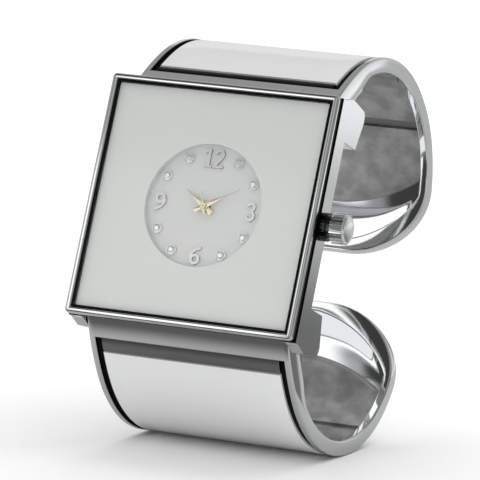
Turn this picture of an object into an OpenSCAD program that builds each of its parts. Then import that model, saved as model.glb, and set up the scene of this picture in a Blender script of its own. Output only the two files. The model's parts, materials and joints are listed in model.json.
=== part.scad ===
// Bangle watch: a square quartz watch head between two hinged half cuffs.
// Frame: X to the crown, Y into the watch from the face, Z to 12 o'clock.
// The origin is the middle of the glass's outer face, on the axis of the hands.

/* [Case] */
// Width of the case across the dial, without the crown
case_w = 38; // [36:0.5:44]
// Height of the case along 12 to 6
case_h = 38; // [37:0.5:42]
// Distance from the glass's face to the back of the bezel
bezel_back = 1.2; // [1.1:0.05:1.4]
// How far the bezel's crest stands before the glass
bezel_crest = 0.15; // [0:0.05:0.4]
// Width of the bezel seen from the front
bezel_face = 1.05; // [0.9:0.05:1.3]
// Radius of the bezel's outer edge
bezel_round = 0.7; // [0.3:0.05:0.9]
// Height of the dark groove between bezel and case side
groove_h = 0.8; // [0.4:0.1:1]
// Depth of that groove
groove_d = 0.7; // [0.3:0.1:0.8]
// Distance from the glass's face to the back edge of the case side
side_back = 5.2; // [5:0.1:5.6]
// Free height between the movement and the seat of the case back
back_gap = 0.6; // [0.55:0.05:1]
// Thickness of the cheeks that carry the hinge pins
cheek_t = 2; // [1.6:0.1:2.6]
// Thickness of the case wall over and under the movement
core_wall = 1.4; // [1:0.1:1.5]
// Thickness of the case wall beside the movement
core_side = 2.5; // [2:0.1:2.8]
// Furthest point of the cheeks behind the glass's face
lug_back = 11; // [10.4:0.1:12]
// How far the cheeks reach from the case's end along its side
lug_in = 6; // [5.5:0.1:7]
// How far the cheeks stand past the case's end
lug_out = 0.8; // [0.5:0.1:1.2]
// Radius of the case's corners seen from the front
corner_r = 0.7; // [0.3:0.1:1.2]

/* [Glass and dial] */
// Thickness of the glass
crystal_t = 0.8; // [0.7:0.05:0.9]
// Width of the black gasket round the glass
gasket_w = 0.3; // [0.2:0.05:0.5]
// Thickness of the white mask under the glass
mask_t = 1.1; // [1.05:0.05:1.4]
// Diameter of the round window in the mask
window_d = 19.2; // [18.8:0.1:22]
// Thickness of the dial
dial_t = 0.4; // [0.3:0.05:0.5]
// Free height between the dial and the main plate, for the motion work
dial_gap = 0.6; // [0.4:0.05:0.8]
// Distance of the numerals from the centre
numeral_ring = 7.6; // [7.2:0.1:7.7]
// Height of a numeral
numeral_h = 2.9; // [2.4:0.1:3]
// Height of the numerals over the dial
numeral_t = 0.25; // [0.1:0.05:0.3]
// Distance of the stones from the centre
stone_ring = 8.3; // [7.8:0.1:8.4]
// Diameter of a stone
stone_d = 1.24; // [1:0.02:1.4]
// Width of the metal cup round a stone
cup_w = 0.2; // [0.15:0.05:0.25]

/* [Hands] */
// Length of the hour hand from the axis
hour_len = 4.2; // [3.5:0.1:5]
// Length of the minute hand from the axis
minute_len = 6.3; // [5.5:0.1:7.5]
// Length of the seconds hand from the axis
seconds_len = 2.3; // [2:0.1:8.5]
// Thickness of a hand
hand_t = 0.12; // [0.08:0.01:0.15]
// Height of the hour hand's front over the dial
hand_rise = 0.5; // [0.45:0.01:0.55]
// Distance from one hand to the next
hand_step = 0.23; // [0.21:0.01:0.23]
// Hour shown
hour_shown = 10; // [0:1:11]
// Minute shown
minute_shown = 10; // [0:1:59]
// Second shown
second_shown = 57; // [0:1:59]

/* [Movement] */
// Radius of the movement
move_r = 8.8; // [8.6:0.1:9.2]
// Thickness of the main plate
plate_t = 1.2; // [1.2:0.05:1.3]
// Height of the space for the wheels behind the plate
train_h = 1.2; // [1.2:0.05:1.3]
// Thickness of the train bridge
bridge_t = 0.5; // [0.4:0.05:0.6]
// Diameter of the button cell
battery_d = 5.8; // [5:0.1:5.8]
// Thickness of the button cell
battery_t = 2.1; // [1.6:0.05:2.15]
// Thickness of a wheel
wheel_t = 0.2; // [0.12:0.01:0.2]
// Radial clearance of a running pivot
pivot_gap = 0.04; // [0.02:0.01:0.06]
// Distance from the hands' axis to the minute wheel
motion_dist = 2.4; // [2.4:0.05:2.5]
// Distance from the hands' axis to the third wheel
third_dist = 2.72; // [2.7:0.02:2.8]
// Distance from the hands' axis to the fifth wheel
fifth_dist = 2.64; // [2.6:0.02:2.7]
// Distance from the fifth wheel to the rotor
rotor_dist = 2.1; // [2:0.02:2.14]
// Diameter of the rotor's magnet
magnet_d = 1.5; // [1:0.1:1.6]

/* [Crown] */
// Diameter of the crown over its ribs
crown_d = 4.8; // [4.4:0.1:5.2]
// Length of the crown's ribbed part
crown_len = 2; // [1.8:0.1:2.6]
// Length of the narrower ribbed collar next to the case
collar_len = 0.85; // [0.6:0.05:1.2]
// Length of the plain neck between the collar and the crown's ribbed part
neck_len = 0.9; // [0.5:0.1:1.2]
// Length of the crown's smooth end
crown_cap = 0.5; // [0.4:0.05:0.8]
// Number of ribs on the crown
crown_ribs = 26; // [20:1:36]
// Depth of the stem's axis in the main plate
stem_in_plate = 0.7; // [0.65:0.05:0.75]
// Height of the stem's axis over the axis of the hands
stem_z = -0.6; // [-0.8:0.1:0]
// Diameter of the winding stem
stem_d = 0.9; // [0.7:0.05:0.9]
// Outer diameter of the crown tube
tube_d = 2; // [1.6:0.1:2.2]
// Travel of the crown when it is pulled to set the time
crown_pull = 1; // [0.6:0.1:1]

/* [Cuff] */
// Side clearance between the cuff and the cheeks
cuff_gap = 0.1; // [0.05:0.05:0.3]
// Distance from the glass's face to the highest point of the cuff
cuff_top_y = 26.24; // [25:0.1:28]
// Height of the cuff's highest point over the case's end
cuff_rise = 12.15; // [12:0.05:15]
// Radius of the flat shoulder next to the case
shoulder_r = 40; // [38:0.5:44]
// Radius of the cuff's crown
crest_r = 24.71; // [24:0.1:26]
// Radius of the cuff's back corner
back_r = 19.4; // [18.5:0.1:20.5]
// Angle from the crest to the shoulder's arc
shoulder_angle = 38.3; // [36:0.1:40]
// Angle from the crest to the back arc
back_angle = 33.6; // [32:0.1:36]
// Height of the cuff's tip over the middle of the gap
tip_z = 4.3; // [3:0.1:7]
// Radius of the tip's corners
tip_r = 12; // [8:0.5:13]
// Depth of the cuff's side flanges
flange_d = 2.4; // [2.2:0.1:3]
// Thickness of the cuff's sheet
sheet_t = 1.3; // [1.2:0.05:1.4]
// Width of the flange on the wrist side
flange_w = 1.4; // [1:0.1:2]
// Width of the lip inside the tip, in the middle
lip_w = 1.4; // [1:0.1:3]
// Radius of the lip's inner edge
lip_r = 18; // [17:0.5:24]
// Width of the bright rim beside the enamel panel
rim_w = 1.2; // [0.8:0.1:2]
// Depth of the recess for the enamel panel
recess_d = 0.7; // [0.5:0.05:0.8]
// Width of the dark groove beside the panel
inlay_gap = 0.6; // [0.3:0.1:0.9]
// Thickness of the dark bed under the panel
bed_t = 0.15; // [0.1:0.05:0.2]
// Thickness of the steel lining
lining_t = 0.5; // [0.3:0.05:0.7]
// Height of the lining's end over the middle of the gap
lining_z = 12.5; // [10:0.1:14]
// Radius of the lining's end
lining_r = 27; // [20:1:40]
// Width of the slot between the lining's two plates
lining_slot = 1.7; // [1:0.1:2.5]
// Distance of the hinge pin behind the glass's face
pin_y = 7.4; // [7.2:0.1:7.6]
// Distance of the hinge pin from the case's end
pin_in = 2.1; // [1.8:0.1:2.1]
// Diameter of the hinge pin
pin_d = 1.2; // [1:0.1:1.4]
// Radius of the hinge barrel
barrel_r = 2.1; // [1.9:0.1:2.1]
// Room for the leaf spring between the case and the hinge barrel
spring_room = 0.45; // [0.4:0.05:0.6]
// Thickness of the hinge's leaf spring
spring_t = 0.25; // [0.2:0.05:0.3]
// Width of the hinge's leaf spring
spring_w = 9; // [6:0.5:14]

/* [Hidden] */
$fn = 96;

steel = "#c9cbce";
dark_steel = "#7c7e80";
chrome = "#d9dbde";
white = "#e6e8e6";
black = "#141414";
brass = "#c8a24a";
gold = "#d8cfa0";

// Half sizes and seats of the case, worked out from the sizes above
half_w = case_w / 2;
half_h = case_h / 2;
glass_w = half_w - bezel_face - gasket_w;
glass_h = half_h - bezel_face - gasket_w;
neck_w = half_w - groove_d;
neck_h = half_h - groove_d;
pocket_wall = 1.1;
pocket_w = neck_w - pocket_wall;
pocket_h = neck_h - pocket_wall;
cheek_x = half_w - cheek_t;
fit = 0.05;
pin_z = half_h - pin_in;
core_h = pin_z - barrel_r - spring_room;
cavity = core_h - core_wall;
core_w = cavity + core_side;
dial_w = 2 * (cavity - fit);
dial_face = crystal_t + mask_t;
dial_back = dial_face + dial_t;
plate_face = dial_back + dial_gap;
plate_back = plate_face + plate_t;
stem_y = plate_face + stem_in_plate;
bridge_face = plate_back + train_h;
bridge_back = bridge_face + bridge_t;
core_back = bridge_back + back_gap;
tray_back = plate_face;
back_t = 1;
lug_low = half_h - lug_in;
lug_high = half_h + lug_out;

// Places in the movement
recess_back = plate_back - 0.25;
hour_wheel_y = plate_face + 0.1;
minute_wheel_y = plate_face + 0.55;
centre_wheel_y = plate_back + 0.2;
third_wheel_y = plate_back + 0.6;
seconds_wheel_y = plate_back + 0.9;
third_at = third_dist * [cos(60), sin(60)];
fifth_at = fifth_dist * [cos(-100), sin(-100)];
rotor_turn = -170;
rotor_at = fifth_at + rotor_dist * [cos(rotor_turn), sin(rotor_turn)];
battery_at = [-5.65, 1];
coil_at = [-0.3, -6.45];
coil_len = 8;
coil_r = 0.85;
pivot_r = 0.12;
arbor_r = 0.16;
cannon_r = 0.42;
cannon_bore = arbor_r + pivot_gap;
pipe_bore = cannon_r + pivot_gap;
pipe_r = pipe_bore + 0.28;
recess_r = 2.35;
screw_at = [[3.9, 4.3], [3.6, -3.9], [-2.6, 5.2]];
holder_bore = move_r + fit;

// Heights of the hands between glass and dial
hour_y = dial_face - hand_rise;
minute_y = hour_y - hand_step;
seconds_y = minute_y - hand_step;

// Tooth counts, and modules that fit the distances between the arbors
cannon_n = 12;
minute_n = 36;
minute_pinion_n = 10;
hour_n = 40;
seconds_n = 40;
seconds_pinion_n = 8;
third_n = 60;
third_pinion_n = 8;
centre_n = 64;
fifth_n = 36;
fifth_pinion_n = 8;
rotor_n = 6;
motion_m = 2 * motion_dist / (cannon_n + minute_n);
hour_m = 2 * motion_dist / (minute_pinion_n + hour_n);
third_m = 2 * third_dist / (seconds_pinion_n + third_n);
centre_m = 2 * third_dist / (third_pinion_n + centre_n);
fifth_m = 2 * fifth_dist / (fifth_pinion_n + seconds_n);
rotor_m = 2 * rotor_dist / (rotor_n + fifth_n);

// Centres of the three arcs that make the cuff's outer side
function toward(a) = [sin(a), cos(a)];
cuff_w = 2 * (cheek_x - cuff_gap);
crest_c = [cuff_top_y, half_h + cuff_rise - crest_r];
shoulder_c = crest_c + (crest_r - shoulder_r) * toward(-shoulder_angle);
back_c = crest_c + (crest_r - back_r) * toward(back_angle);
far = cuff_top_y + crest_r + half_h;

// Where the cuff starts behind the bezel, and the back corner of its hinge block
cuff_front = tray_back + 0.3;
web_y = pin_y + 3.4;
web_z = pin_z + 4.1;
web_run = 5;

// Angles from the crest at which the pieces of the cuff start and end
shell_angle = -40;
end_angle = 135;
bar_angle = -48;
inlay_angle = -45.4;
bar_gap_angle = 0.15;
lining_angle = -38.5;
lining_gap_angle = 0.5;
slot_angle = 38.7;
slot_half_angle = lining_slot / (back_r - sheet_t) * 90 / PI;
glue_t = 0.02;

// Turns a flat outline drawn in X and Z into a plate from y0 to y1
module along_y(y0, y1)
    translate([0, y1, 0])
        rotate([90, 0, 0])
            linear_extrude(y1 - y0)
                children();

// Turns a flat outline drawn in Y and Z into a bar from x0 to x1
module along_x(x0, x1)
    translate([x0, 0, 0])
        rotate([90, 0, 90])
            linear_extrude(x1 - x0)
                children();

// A rod along X
module rod_x(x0, x1, y, z, r)
    translate([x0, y, z])
        rotate([0, 90, 0])
            cylinder(h = x1 - x0, r = r);

// A rod along Y at a place in X and Z
module rod_y(y0, y1, at, r)
    along_y(y0, y1)
        translate(at)
            circle(r);

// A rectangle with round corners, by its half sizes
module soft_rect(w, h, r) {
    square([2 * (w - r), 2 * h], center = true);
    square([2 * w, 2 * (h - r)], center = true);
    for (sx = [-1, 1], sz = [-1, 1])
        translate([sx * (w - r), sz * (h - r)])
            circle(r);
}

// A half plane cut off a point, on the side away from an angle
module before(c, a) {
    side = toward(a - 90);
    polygon([
        c + far * toward(a),
        c + far * (toward(a) + side),
        c + far * (side - toward(a)),
        c - far * toward(a)
    ]);
}

// The cuff's side view filled in, at a depth under its outer side: three discs
// that touch each other from inside, the larger ones cut where the smaller takes over
module cuff_fill(d) {
    translate(back_c)
        circle(back_r - d, $fn = 240);
    intersection() {
        translate(crest_c)
            circle(crest_r - d, $fn = 240);
        before(crest_c, back_angle);
    }
    intersection() {
        translate(shoulder_c)
            circle(shoulder_r - d, $fn = 360);
        before(crest_c, -shoulder_angle);
    }
}

// The centre of the arc that an angle falls on
function arc_centre(a) =
    a < -shoulder_angle ? shoulder_c : (a > back_angle ? back_c : crest_c);

// A band of the cuff's side view, between two depths and two angles, each
// angle taken about the centre of the arc that it falls on
module cuff_band(d0, d1, a0, a1) {
    c0 = arc_centre(a0);
    c1 = arc_centre(a1);
    intersection() {
        difference() {
            cuff_fill(d0);
            cuff_fill(d1);
        }
        polygon([
            c0,
            c0 + far * toward(a0),
            c0 + far * toward((2 * a0 + a1) / 3),
            c1 + far * toward((a0 + 2 * a1) / 3),
            c1 + far * toward(a1),
            c1
        ]);
    }
}

// The half cuff's outline seen along Y: straight sides and a rounded tip
module cuff_outline(side, tip) {
    w = cuff_w / 2 - side;
    z0 = tip_z + tip;
    r = tip_r - side;
    for (s = [-1, 1])
        translate([s * (w - r), z0 + r])
            circle(r);
    translate([-(w - r), z0])
        square([2 * (w - r), r]);
    translate([-w, z0 + r])
        square([2 * w, far]);
}

// The outline of what lies in the channel, ending in one wide arc at a height
module channel_outline(w, z0, r)
    intersection() {
        translate([-w, z0])
            square([2 * w, far]);
        union() {
            translate([0, z0 + r])
                circle(r);
            translate([-w, z0 + r])
                square([2 * w, far]);
        }
    }

// A piece of the cuff that follows its outline at a distance
module cuff_piece(d0, d1, a0, a1, side, tip)
    intersection() {
        along_x(-cuff_w / 2 + side, cuff_w / 2 - side)
            cuff_band(d0, d1, a0, a1);
        along_y(cuff_front, far)
            cuff_outline(side, tip);
    }

// A piece inside the channel, between the side flanges
module channel_piece(d0, d1, a0, a1, side, z0, r)
    intersection() {
        along_x(-cuff_w / 2 + side, cuff_w / 2 - side)
            cuff_band(d0, d1, a0, a1);
        along_y(cuff_front, far)
            channel_outline(cuff_w / 2 - side, z0, r);
    }

// Side view of the hinge end: barrel and the metal between it and the sheet
module hinge_end() {
    translate([pin_y, pin_z])
        circle(barrel_r);
    intersection() {
        cuff_fill(0);
        polygon([
            [cuff_front, pin_z],
            [cuff_front, web_z + web_run],
            [web_y + web_run, web_z + web_run],
            [web_y, web_z],
            [pin_y + barrel_r, pin_z]
        ]);
    }
}

// The chrome half cuff: sheet, flanges, tip rim and hinge barrel
module cuff_shell()
    color(chrome)
        difference() {
            union() {
                cuff_piece(0, flange_d, shell_angle, end_angle, 0, 0);
                along_x(-cuff_w / 2, cuff_w / 2)
                    hinge_end();
            }
            channel_piece(sheet_t, 2 * flange_d, lining_angle, end_angle,
                          flange_w, tip_z + lip_w, lip_r);
            cuff_piece(-1, recess_d, bar_angle, end_angle, rim_w, rim_w);
            rod_x(-cuff_w, cuff_w, pin_y, pin_z, pin_d / 2 + pivot_gap);
        }

// The dark polished bar at the case end of the panel
module end_bar()
    color(dark_steel)
        cuff_piece(fit, recess_d, bar_angle, inlay_angle - bar_gap_angle,
                   rim_w + inlay_gap, rim_w);

// The white enamel panel
module inlay()
    color(white)
        cuff_piece(fit, recess_d - bed_t - glue_t, inlay_angle, end_angle,
                   rim_w + inlay_gap, rim_w + inlay_gap);

// The black bed that shows as a line round the panel
module inlay_bed()
    color(black)
        cuff_piece(recess_d - bed_t, recess_d, inlay_angle, end_angle, rim_w + fit, rim_w + fit);

// The steel lining next to the case
module front_lining()
    color(dark_steel)
        channel_piece(sheet_t, sheet_t + lining_t,
                      lining_angle + lining_gap_angle, slot_angle - slot_half_angle,
                      flange_w + fit, lining_z, lining_r);

// The steel lining next to the tip
module rear_lining()
    color(dark_steel)
        channel_piece(sheet_t, sheet_t + lining_t, slot_angle + slot_half_angle, end_angle,
                      flange_w + fit, lining_z, lining_r);

// How far the hinge pins reach from the middle, hidden in the cheeks
pin_end = half_w - 0.4;

// The hinge pin, pressed into both cheeks
module hinge_pin()
    color(steel)
        rod_x(-pin_end, pin_end, pin_y, pin_z, pin_d / 2);

// The leaf spring that closes the cuff: flat on the case, turned up behind the barrel
module hinge_spring() {
    y0 = tray_back + 0.4;
    z0 = core_h;
    y1 = pin_y + barrel_r;
    y2 = y1 + 0.6;
    z1 = z0 + 0.6;
    z2 = z1 + 0.9;
    color(steel)
        along_x(-spring_w / 2, spring_w / 2)
            polygon([
                [y0, z0],
                [y1, z0],
                [y2, z1],
                [y2, z2],
                [y2 - spring_t, z2],
                [y2 - spring_t, z1 + spring_t / 2],
                [y1 - spring_t / 2, z0 + spring_t],
                [y0, z0 + spring_t]
            ]);
}

// Side view of one hinge cheek
module lug_side() {
    r = 0.8;
    polygon([
        [side_back - 1, lug_low],
        [lug_back - 1.3, lug_low],
        [lug_back, lug_low + 4.6],
        [lug_back - 0.1, lug_high - 1.4],
        [lug_back - 0.6, lug_high - 0.6],
        [side_back + 0.5, lug_high],
        [bezel_back + groove_h + 1, half_h]
    ]);
    translate([lug_back - r - 0.12, lug_high - 1.5])
        circle(r);
}

// The case: tray for the glass, core round the movement, sides and hinge cheeks
module case_middle()
    color(chrome)
        difference() {
            union() {
                along_y(bezel_back, tray_back)
                    square([2 * neck_w, 2 * neck_h], center = true);
                along_y(bezel_back + groove_h, side_back)
                    for (s = [-1, 1])
                        translate([s * (half_w - cheek_t / 2), 0])
                            square([cheek_t, case_h - 0.02], center = true);
                along_y(tray_back, side_back)
                    square([2 * cheek_x, 2 * core_h], center = true);
                along_y(side_back, core_back)
                    soft_rect(core_w, core_h, 1);
                for (s = [-1, 1], side = [0, 1])
                    mirror([0, 0, side])
                        translate([s * (half_w - cheek_t / 2), 0, 0])
                            along_x(-cheek_t / 2, cheek_t / 2)
                                lug_side();
            }
            along_y(bezel_back - 1, dial_face)
                square([2 * pocket_w, 2 * pocket_h], center = true);
            along_y(dial_face - 1, core_back + 1)
                square([2 * cavity, 2 * cavity], center = true);
            rod_x(cavity - 1, half_w + 1, stem_y, stem_z, tube_d / 2);
            for (s = [-1, 1])
                rod_x(-pin_end, pin_end, pin_y, s * pin_z, pin_d / 2);
            for (sx = [-1, 1], sz = [-1, 1])
                rod_y(core_back - 1, core_back + 1, [sx * screw_x, sz * screw_z], screw_r);
        }

// The half-round frame: two crossed bars with round edges, less a flared opening
module bezel() {
    open_w = half_w - bezel_face;
    open_h = half_h - bezel_face;
    flare = bezel_face / 3;
    color(chrome)
        difference() {
            intersection() {
                along_z(half_h)
                    bezel_section(half_w);
                along_x(-half_w, half_w)
                    rotate(90)
                        mirror([0, 1])
                            bezel_section(half_h);
                along_y(-bezel_crest - 1, bezel_back + 1)
                    soft_rect(half_w, half_h, corner_r);
            }
            intersection() {
                along_z(half_h)
                    opening_section(open_w, flare);
                along_x(-half_w, half_w)
                    rotate(90)
                        mirror([0, 1])
                            opening_section(open_h, flare);
            }
        }
}

// Turns an outline drawn in X and Y into a bar from -z to z
module along_z(z)
    translate([0, 0, -z])
        linear_extrude(2 * z)
            children();

// Section of the bezel's block: flat back, round front edges
module bezel_section(w) {
    r = bezel_round;
    translate([-(w - r), -bezel_crest])
        square([2 * (w - r), bezel_back + bezel_crest]);
    translate([-w, r - bezel_crest])
        square([2 * w, bezel_back + bezel_crest - r]);
    for (s = [-1, 1])
        translate([s * (w - r), r - bezel_crest])
            circle(r);
}

// Section of the opening: straight at the glass, flared toward the crest
module opening_section(w, flare)
    polygon([
        [-w - flare, -bezel_crest - 1],
        [w + flare, -bezel_crest - 1],
        [w + flare, -bezel_crest],
        [w, -bezel_crest + flare],
        [w, bezel_back + 1],
        [-w, bezel_back + 1],
        [-w, -bezel_crest + flare],
        [-w - flare, -bezel_crest]
    ]);

// The flat glass, with a fine bevel round its face
module crystal() {
    bevel = 0.15;
    color([0.85, 0.9, 0.88, 0.35])
        union() {
            along_y(bevel, crystal_t)
                square([2 * glass_w, 2 * glass_h], center = true);
            along_y(0, bevel)
                square([2 * (glass_w - bevel), 2 * (glass_h - bevel)], center = true);
        }
}

// The black gasket between glass and bezel
module crystal_gasket()
    color(black)
        along_y(0.12, crystal_t)
            difference() {
                square([2 * (glass_w + gasket_w), 2 * (glass_h + gasket_w)], center = true);
                square([2 * glass_w, 2 * glass_h], center = true);
            }

// The white panel under the glass, with the dial's round window: a flange on
// the case inside the bezel, and a body in the case's pocket
module dial_mask() {
    edge_w = half_w - bezel_face - fit;
    edge_h = half_h - bezel_face - fit;
    color(white)
        difference() {
            union() {
                along_y(crystal_t, bezel_back)
                    square([2 * edge_w, 2 * edge_h], center = true);
                along_y(bezel_back, dial_face)
                    square([2 * (pocket_w - fit), 2 * (pocket_h - fit)], center = true);
            }
            rod_y(crystal_t - 1, dial_face + 1, [0, 0], window_d / 2);
        }
}

// The dial plate in the bottom of the window
module dial()
    color("#c8c9c8")
        along_y(dial_face, dial_back)
            difference() {
                square([dial_w, dial_w], center = true);
                circle(pipe_r + 0.1);
            }

// Part of a flat ring, with angles in the usual sense
module arc_strip(r, w, a0, a1) {
    reach = 3 * r;
    intersection() {
        difference() {
            circle(r + w / 2, $fn = 48);
            circle(r - w / 2, $fn = 48);
        }
        polygon(concat([[0, 0]], [
            for (i = [0 : 6])
                let (a = a0 + (a1 - a0) * i / 6)
                    reach * [cos(a), sin(a)]
        ]));
    }
}

// The numerals, each drawn around its own middle in a height of 2
module numeral_one() {
    translate([-0.16, -1])
        square([0.32, 2]);
    translate([-0.45, -1])
        square([0.9, 0.22]);
    polygon([[-0.16, 1], [-0.5, 0.62], [-0.5, 0.42], [-0.16, 0.6]]);
}

module numeral_two() {
    translate([0, 0.42])
        arc_strip(0.43, 0.3, -40, 175);
    polygon([[0.22, 0.22], [0.47, 0.06], [-0.18, -0.78], [-0.6, -0.78], [-0.6, -0.72]]);
    translate([-0.6, -1])
        square([1.2, 0.26]);
}

module numeral_three() {
    translate([0, 0.5])
        arc_strip(0.36, 0.28, -88, 170);
    translate([0, -0.44])
        arc_strip(0.42, 0.3, -170, 88);
}

module numeral_six() {
    translate([0, -0.42])
        arc_strip(0.43, 0.3, -181, 179);
    translate([0.62, -0.4])
        arc_strip(1.2, 0.28, 95, 178);
}

// Places a numeral on the dial at an hour, upright
module at_hour(h, ring)
    translate(ring * toward(30 * h))
        children();

// The four applied numerals
module dial_numerals() {
    k = numeral_h / 2;
    color(steel)
        along_y(dial_face - numeral_t, dial_face) {
            at_hour(12, numeral_ring)
                scale(k) {
                    translate([-0.62, 0])
                        numeral_one();
                    translate([0.52, 0])
                        numeral_two();
                }
            at_hour(3, numeral_ring)
                scale(k)
                    numeral_three();
            at_hour(6, numeral_ring)
                scale(k)
                    numeral_six();
            at_hour(9, numeral_ring)
                scale(k)
                    rotate(180)
                        numeral_six();
        }
}

// Hours marked by a stone
stone_hours = [1, 2, 4, 5, 7, 8, 10, 11];

// The round cups that hold the stones, each with four prongs
module stone_cups() {
    r = stone_d / 2;
    color(steel)
        for (h = stone_hours)
            translate([stone_ring * sin(30 * h), 0, stone_ring * cos(30 * h)]) {
                along_y(dial_face - 0.28, dial_face)
                    difference() {
                        circle(r + cup_w, $fn = 32);
                        circle(r, $fn = 32);
                    }
                along_y(dial_face - 0.42, dial_face - 0.28)
                    for (k = [0 : 3])
                        rotate(45 + 90 * k)
                            translate([r + cup_w / 2, 0])
                                square([cup_w * 0.8, cup_w], center = true);
            }
}

// The stones: a round girdle with a cut crown
module dial_stones() {
    r = stone_d / 2;
    color("#f4f6f8")
        for (h = stone_hours)
            translate([stone_ring * sin(30 * h), dial_face, stone_ring * cos(30 * h)])
                rotate([90, 0, 0]) {
                    cylinder(h = 0.3, r = r, $fn = 32);
                    translate([0, 0, 0.3])
                        cylinder(h = 0.16, r1 = r, r2 = r * 0.55, $fn = 32);
                }
}

// A toothed wheel: one tooth points along +X before it is turned
module teeth(n, m) {
    root = m * (n / 2 - 1.2);
    tip = m * (n / 2 + 0.75);
    step = 360 / n;
    polygon([
        for (i = [0 : n - 1])
            for (p = [[root, -0.29], [tip, -0.1], [tip, 0.1], [root, 0.29]])
                let (a = step * (i + p[1]))
                    p[0] * [cos(a), sin(a)]
    ]);
}

// A wheel or pinion that meshes toward an angle, on a tooth or on a gap
module geared(y, t, at, n, m, toward_a, on_gap)
    along_y(y, y + t)
        translate(at)
            rotate(toward_a + (on_gap ? 180 / n : 0))
                teeth(n, m);

// A hand seen from the front, pointing up: a slim kite with a short tail
module kite(length, width, tail)
    polygon([
        [0, length],
        [width / 2, length * 0.28],
        [width * 0.18, 0],
        [width * 0.42, -tail],
        [-width * 0.42, -tail],
        [-width * 0.18, 0],
        [-width / 2, length * 0.28]
    ]);

// A hand with its hub, turned to its place on the dial
module hand(y, turn, length, width, tail, hub_r, bore)
    difference() {
        union() {
            along_y(y, y + hand_t)
                rotate(-turn)
                    kite(length, width, tail);
            rod_y(y, y + hand_t, [0, 0], hub_r);
        }
        rod_y(y - 1, y + 1, [0, 0], bore);
    }

module hour_hand()
    color(gold)
        hand(hour_y, 30 * hour_shown + minute_shown / 2, hour_len, 1, 1.6, pipe_r + 0.25, pipe_r);

module minute_hand()
    color(gold)
        hand(minute_y, 6 * minute_shown, minute_len, 0.9, 1.7, cannon_r + 0.3, cannon_r);

module seconds_hand()
    color(steel)
        hand(seconds_y, 6 * second_shown, seconds_len, 0.16, 1.3, arbor_r + 0.3, arbor_r);

// The seconds wheel on the long arbor that carries the seconds hand
module seconds_wheel()
    color(brass)
        union() {
            rod_y(seconds_y - 0.05, seconds_wheel_y, [0, 0], arbor_r);
            geared(third_wheel_y - 0.05, 0.3, [0, 0], seconds_pinion_n, third_m, 60, false);
            geared(seconds_wheel_y, wheel_t, [0, 0], seconds_n, fifth_m, -100, false);
            rod_y(seconds_wheel_y, bridge_back - 0.1, [0, 0], pivot_r);
        }

// The tube that carries the minute hand and drives the motion work
module cannon_pinion()
    color(brass)
        difference() {
            union() {
                rod_y(minute_y - 0.05, third_wheel_y - 0.1, [0, 0], cannon_r);
                geared(minute_wheel_y - 0.05, 0.3, [0, 0], cannon_n, motion_m, 0, false);
            }
            rod_y(0, bridge_back, [0, 0], cannon_bore);
        }

// The hour wheel with the pipe that carries the hour hand
module hour_wheel()
    color(brass)
        difference() {
            union() {
                rod_y(hour_y, hour_wheel_y, [0, 0], pipe_r);
                geared(hour_wheel_y, wheel_t, [0, 0], hour_n, hour_m, 0, false);
            }
            rod_y(0, bridge_back, [0, 0], pipe_bore);
        }

// The minute wheel and its pinion, on a post of the main plate
module minute_wheel() {
    at = [motion_dist, 0];
    color(brass)
        difference() {
            union() {
                geared(minute_wheel_y, wheel_t, at, minute_n, motion_m, 180, true);
                geared(hour_wheel_y - 0.05, minute_wheel_y - hour_wheel_y + 0.05,
                       at, minute_pinion_n, hour_m, 180, true);
            }
            rod_y(0, bridge_back, at, post_r + pivot_gap);
        }
}

post_r = 0.2;

// The centre wheel, held on the cannon pinion by friction
module centre_wheel()
    color(brass)
        difference() {
            geared(centre_wheel_y, wheel_t, [0, 0], centre_n, centre_m, 60, false);
            rod_y(0, bridge_back, [0, 0], cannon_r + 0.02);
            for (k = [0 : 3])
                rod_y(0, bridge_back, 1.45 * [cos(90 * k), sin(90 * k)], 0.6);
        }

// An arbor with a wheel, a pinion and a pivot at each end
module third_wheel()
    color(brass)
        union() {
            geared(third_wheel_y, wheel_t, third_at, third_n, third_m, 240, true);
            geared(centre_wheel_y - 0.05, third_wheel_y - centre_wheel_y + 0.05,
                   third_at, third_pinion_n, centre_m, 240, true);
            rod_y(recess_back + 0.05, bridge_back - 0.1, third_at, pivot_r);
        }

module fifth_wheel()
    color(brass)
        union() {
            geared(third_wheel_y, wheel_t, fifth_at, fifth_n, rotor_m, rotor_turn, false);
            geared(third_wheel_y + wheel_t, seconds_wheel_y - third_wheel_y + 0.02,
                   fifth_at, fifth_pinion_n, fifth_m, 80, true);
            rod_y(recess_back + 0.05, bridge_back - 0.1, fifth_at, pivot_r);
        }

// The stepping motor's rotor: magnet, pinion and pivots
module rotor()
    color(dark_steel)
        union() {
            rod_y(plate_back + 0.1, plate_back + 0.5, rotor_at, magnet_d / 2);
            geared(plate_back + 0.5, 0.35, rotor_at, rotor_n, rotor_m, rotor_turn + 180, true);
            rod_y(recess_back + 0.05, bridge_back - 0.1, rotor_at, pivot_r);
        }

// The main plate: bearings, recess for the motion work, pillars and stem slot
module main_plate()
    color("#b8b8b0")
        difference() {
            union() {
                rod_y(plate_face, plate_back, [0, 0], move_r);
                for (at = screw_at)
                    rod_y(plate_back, bridge_face, at, 0.8);
            }
            rod_y(plate_face - 1, recess_back, [0, 0], recess_r);
            difference() {
                rod_y(plate_face - 1, recess_back, [motion_dist, 0], 2.1);
                rod_y(plate_face - 2, recess_back + 1, [motion_dist, 0], post_r);
            }
            rod_y(plate_face - 1, plate_back + 1, [0, 0], cannon_r + pivot_gap);
            for (at = [third_at, fifth_at, rotor_at])
                rod_y(recess_back, plate_back + 1, at, pivot_r + pivot_gap);
            along_y(stem_y - stem_d / 2 - 0.15, plate_back + 1)
                translate([slot_x, stem_z - slot_half])
                    square([move_r, 2 * slot_half]);
        }

slot_x = 4.75;
slot_half = 1.15;

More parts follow.
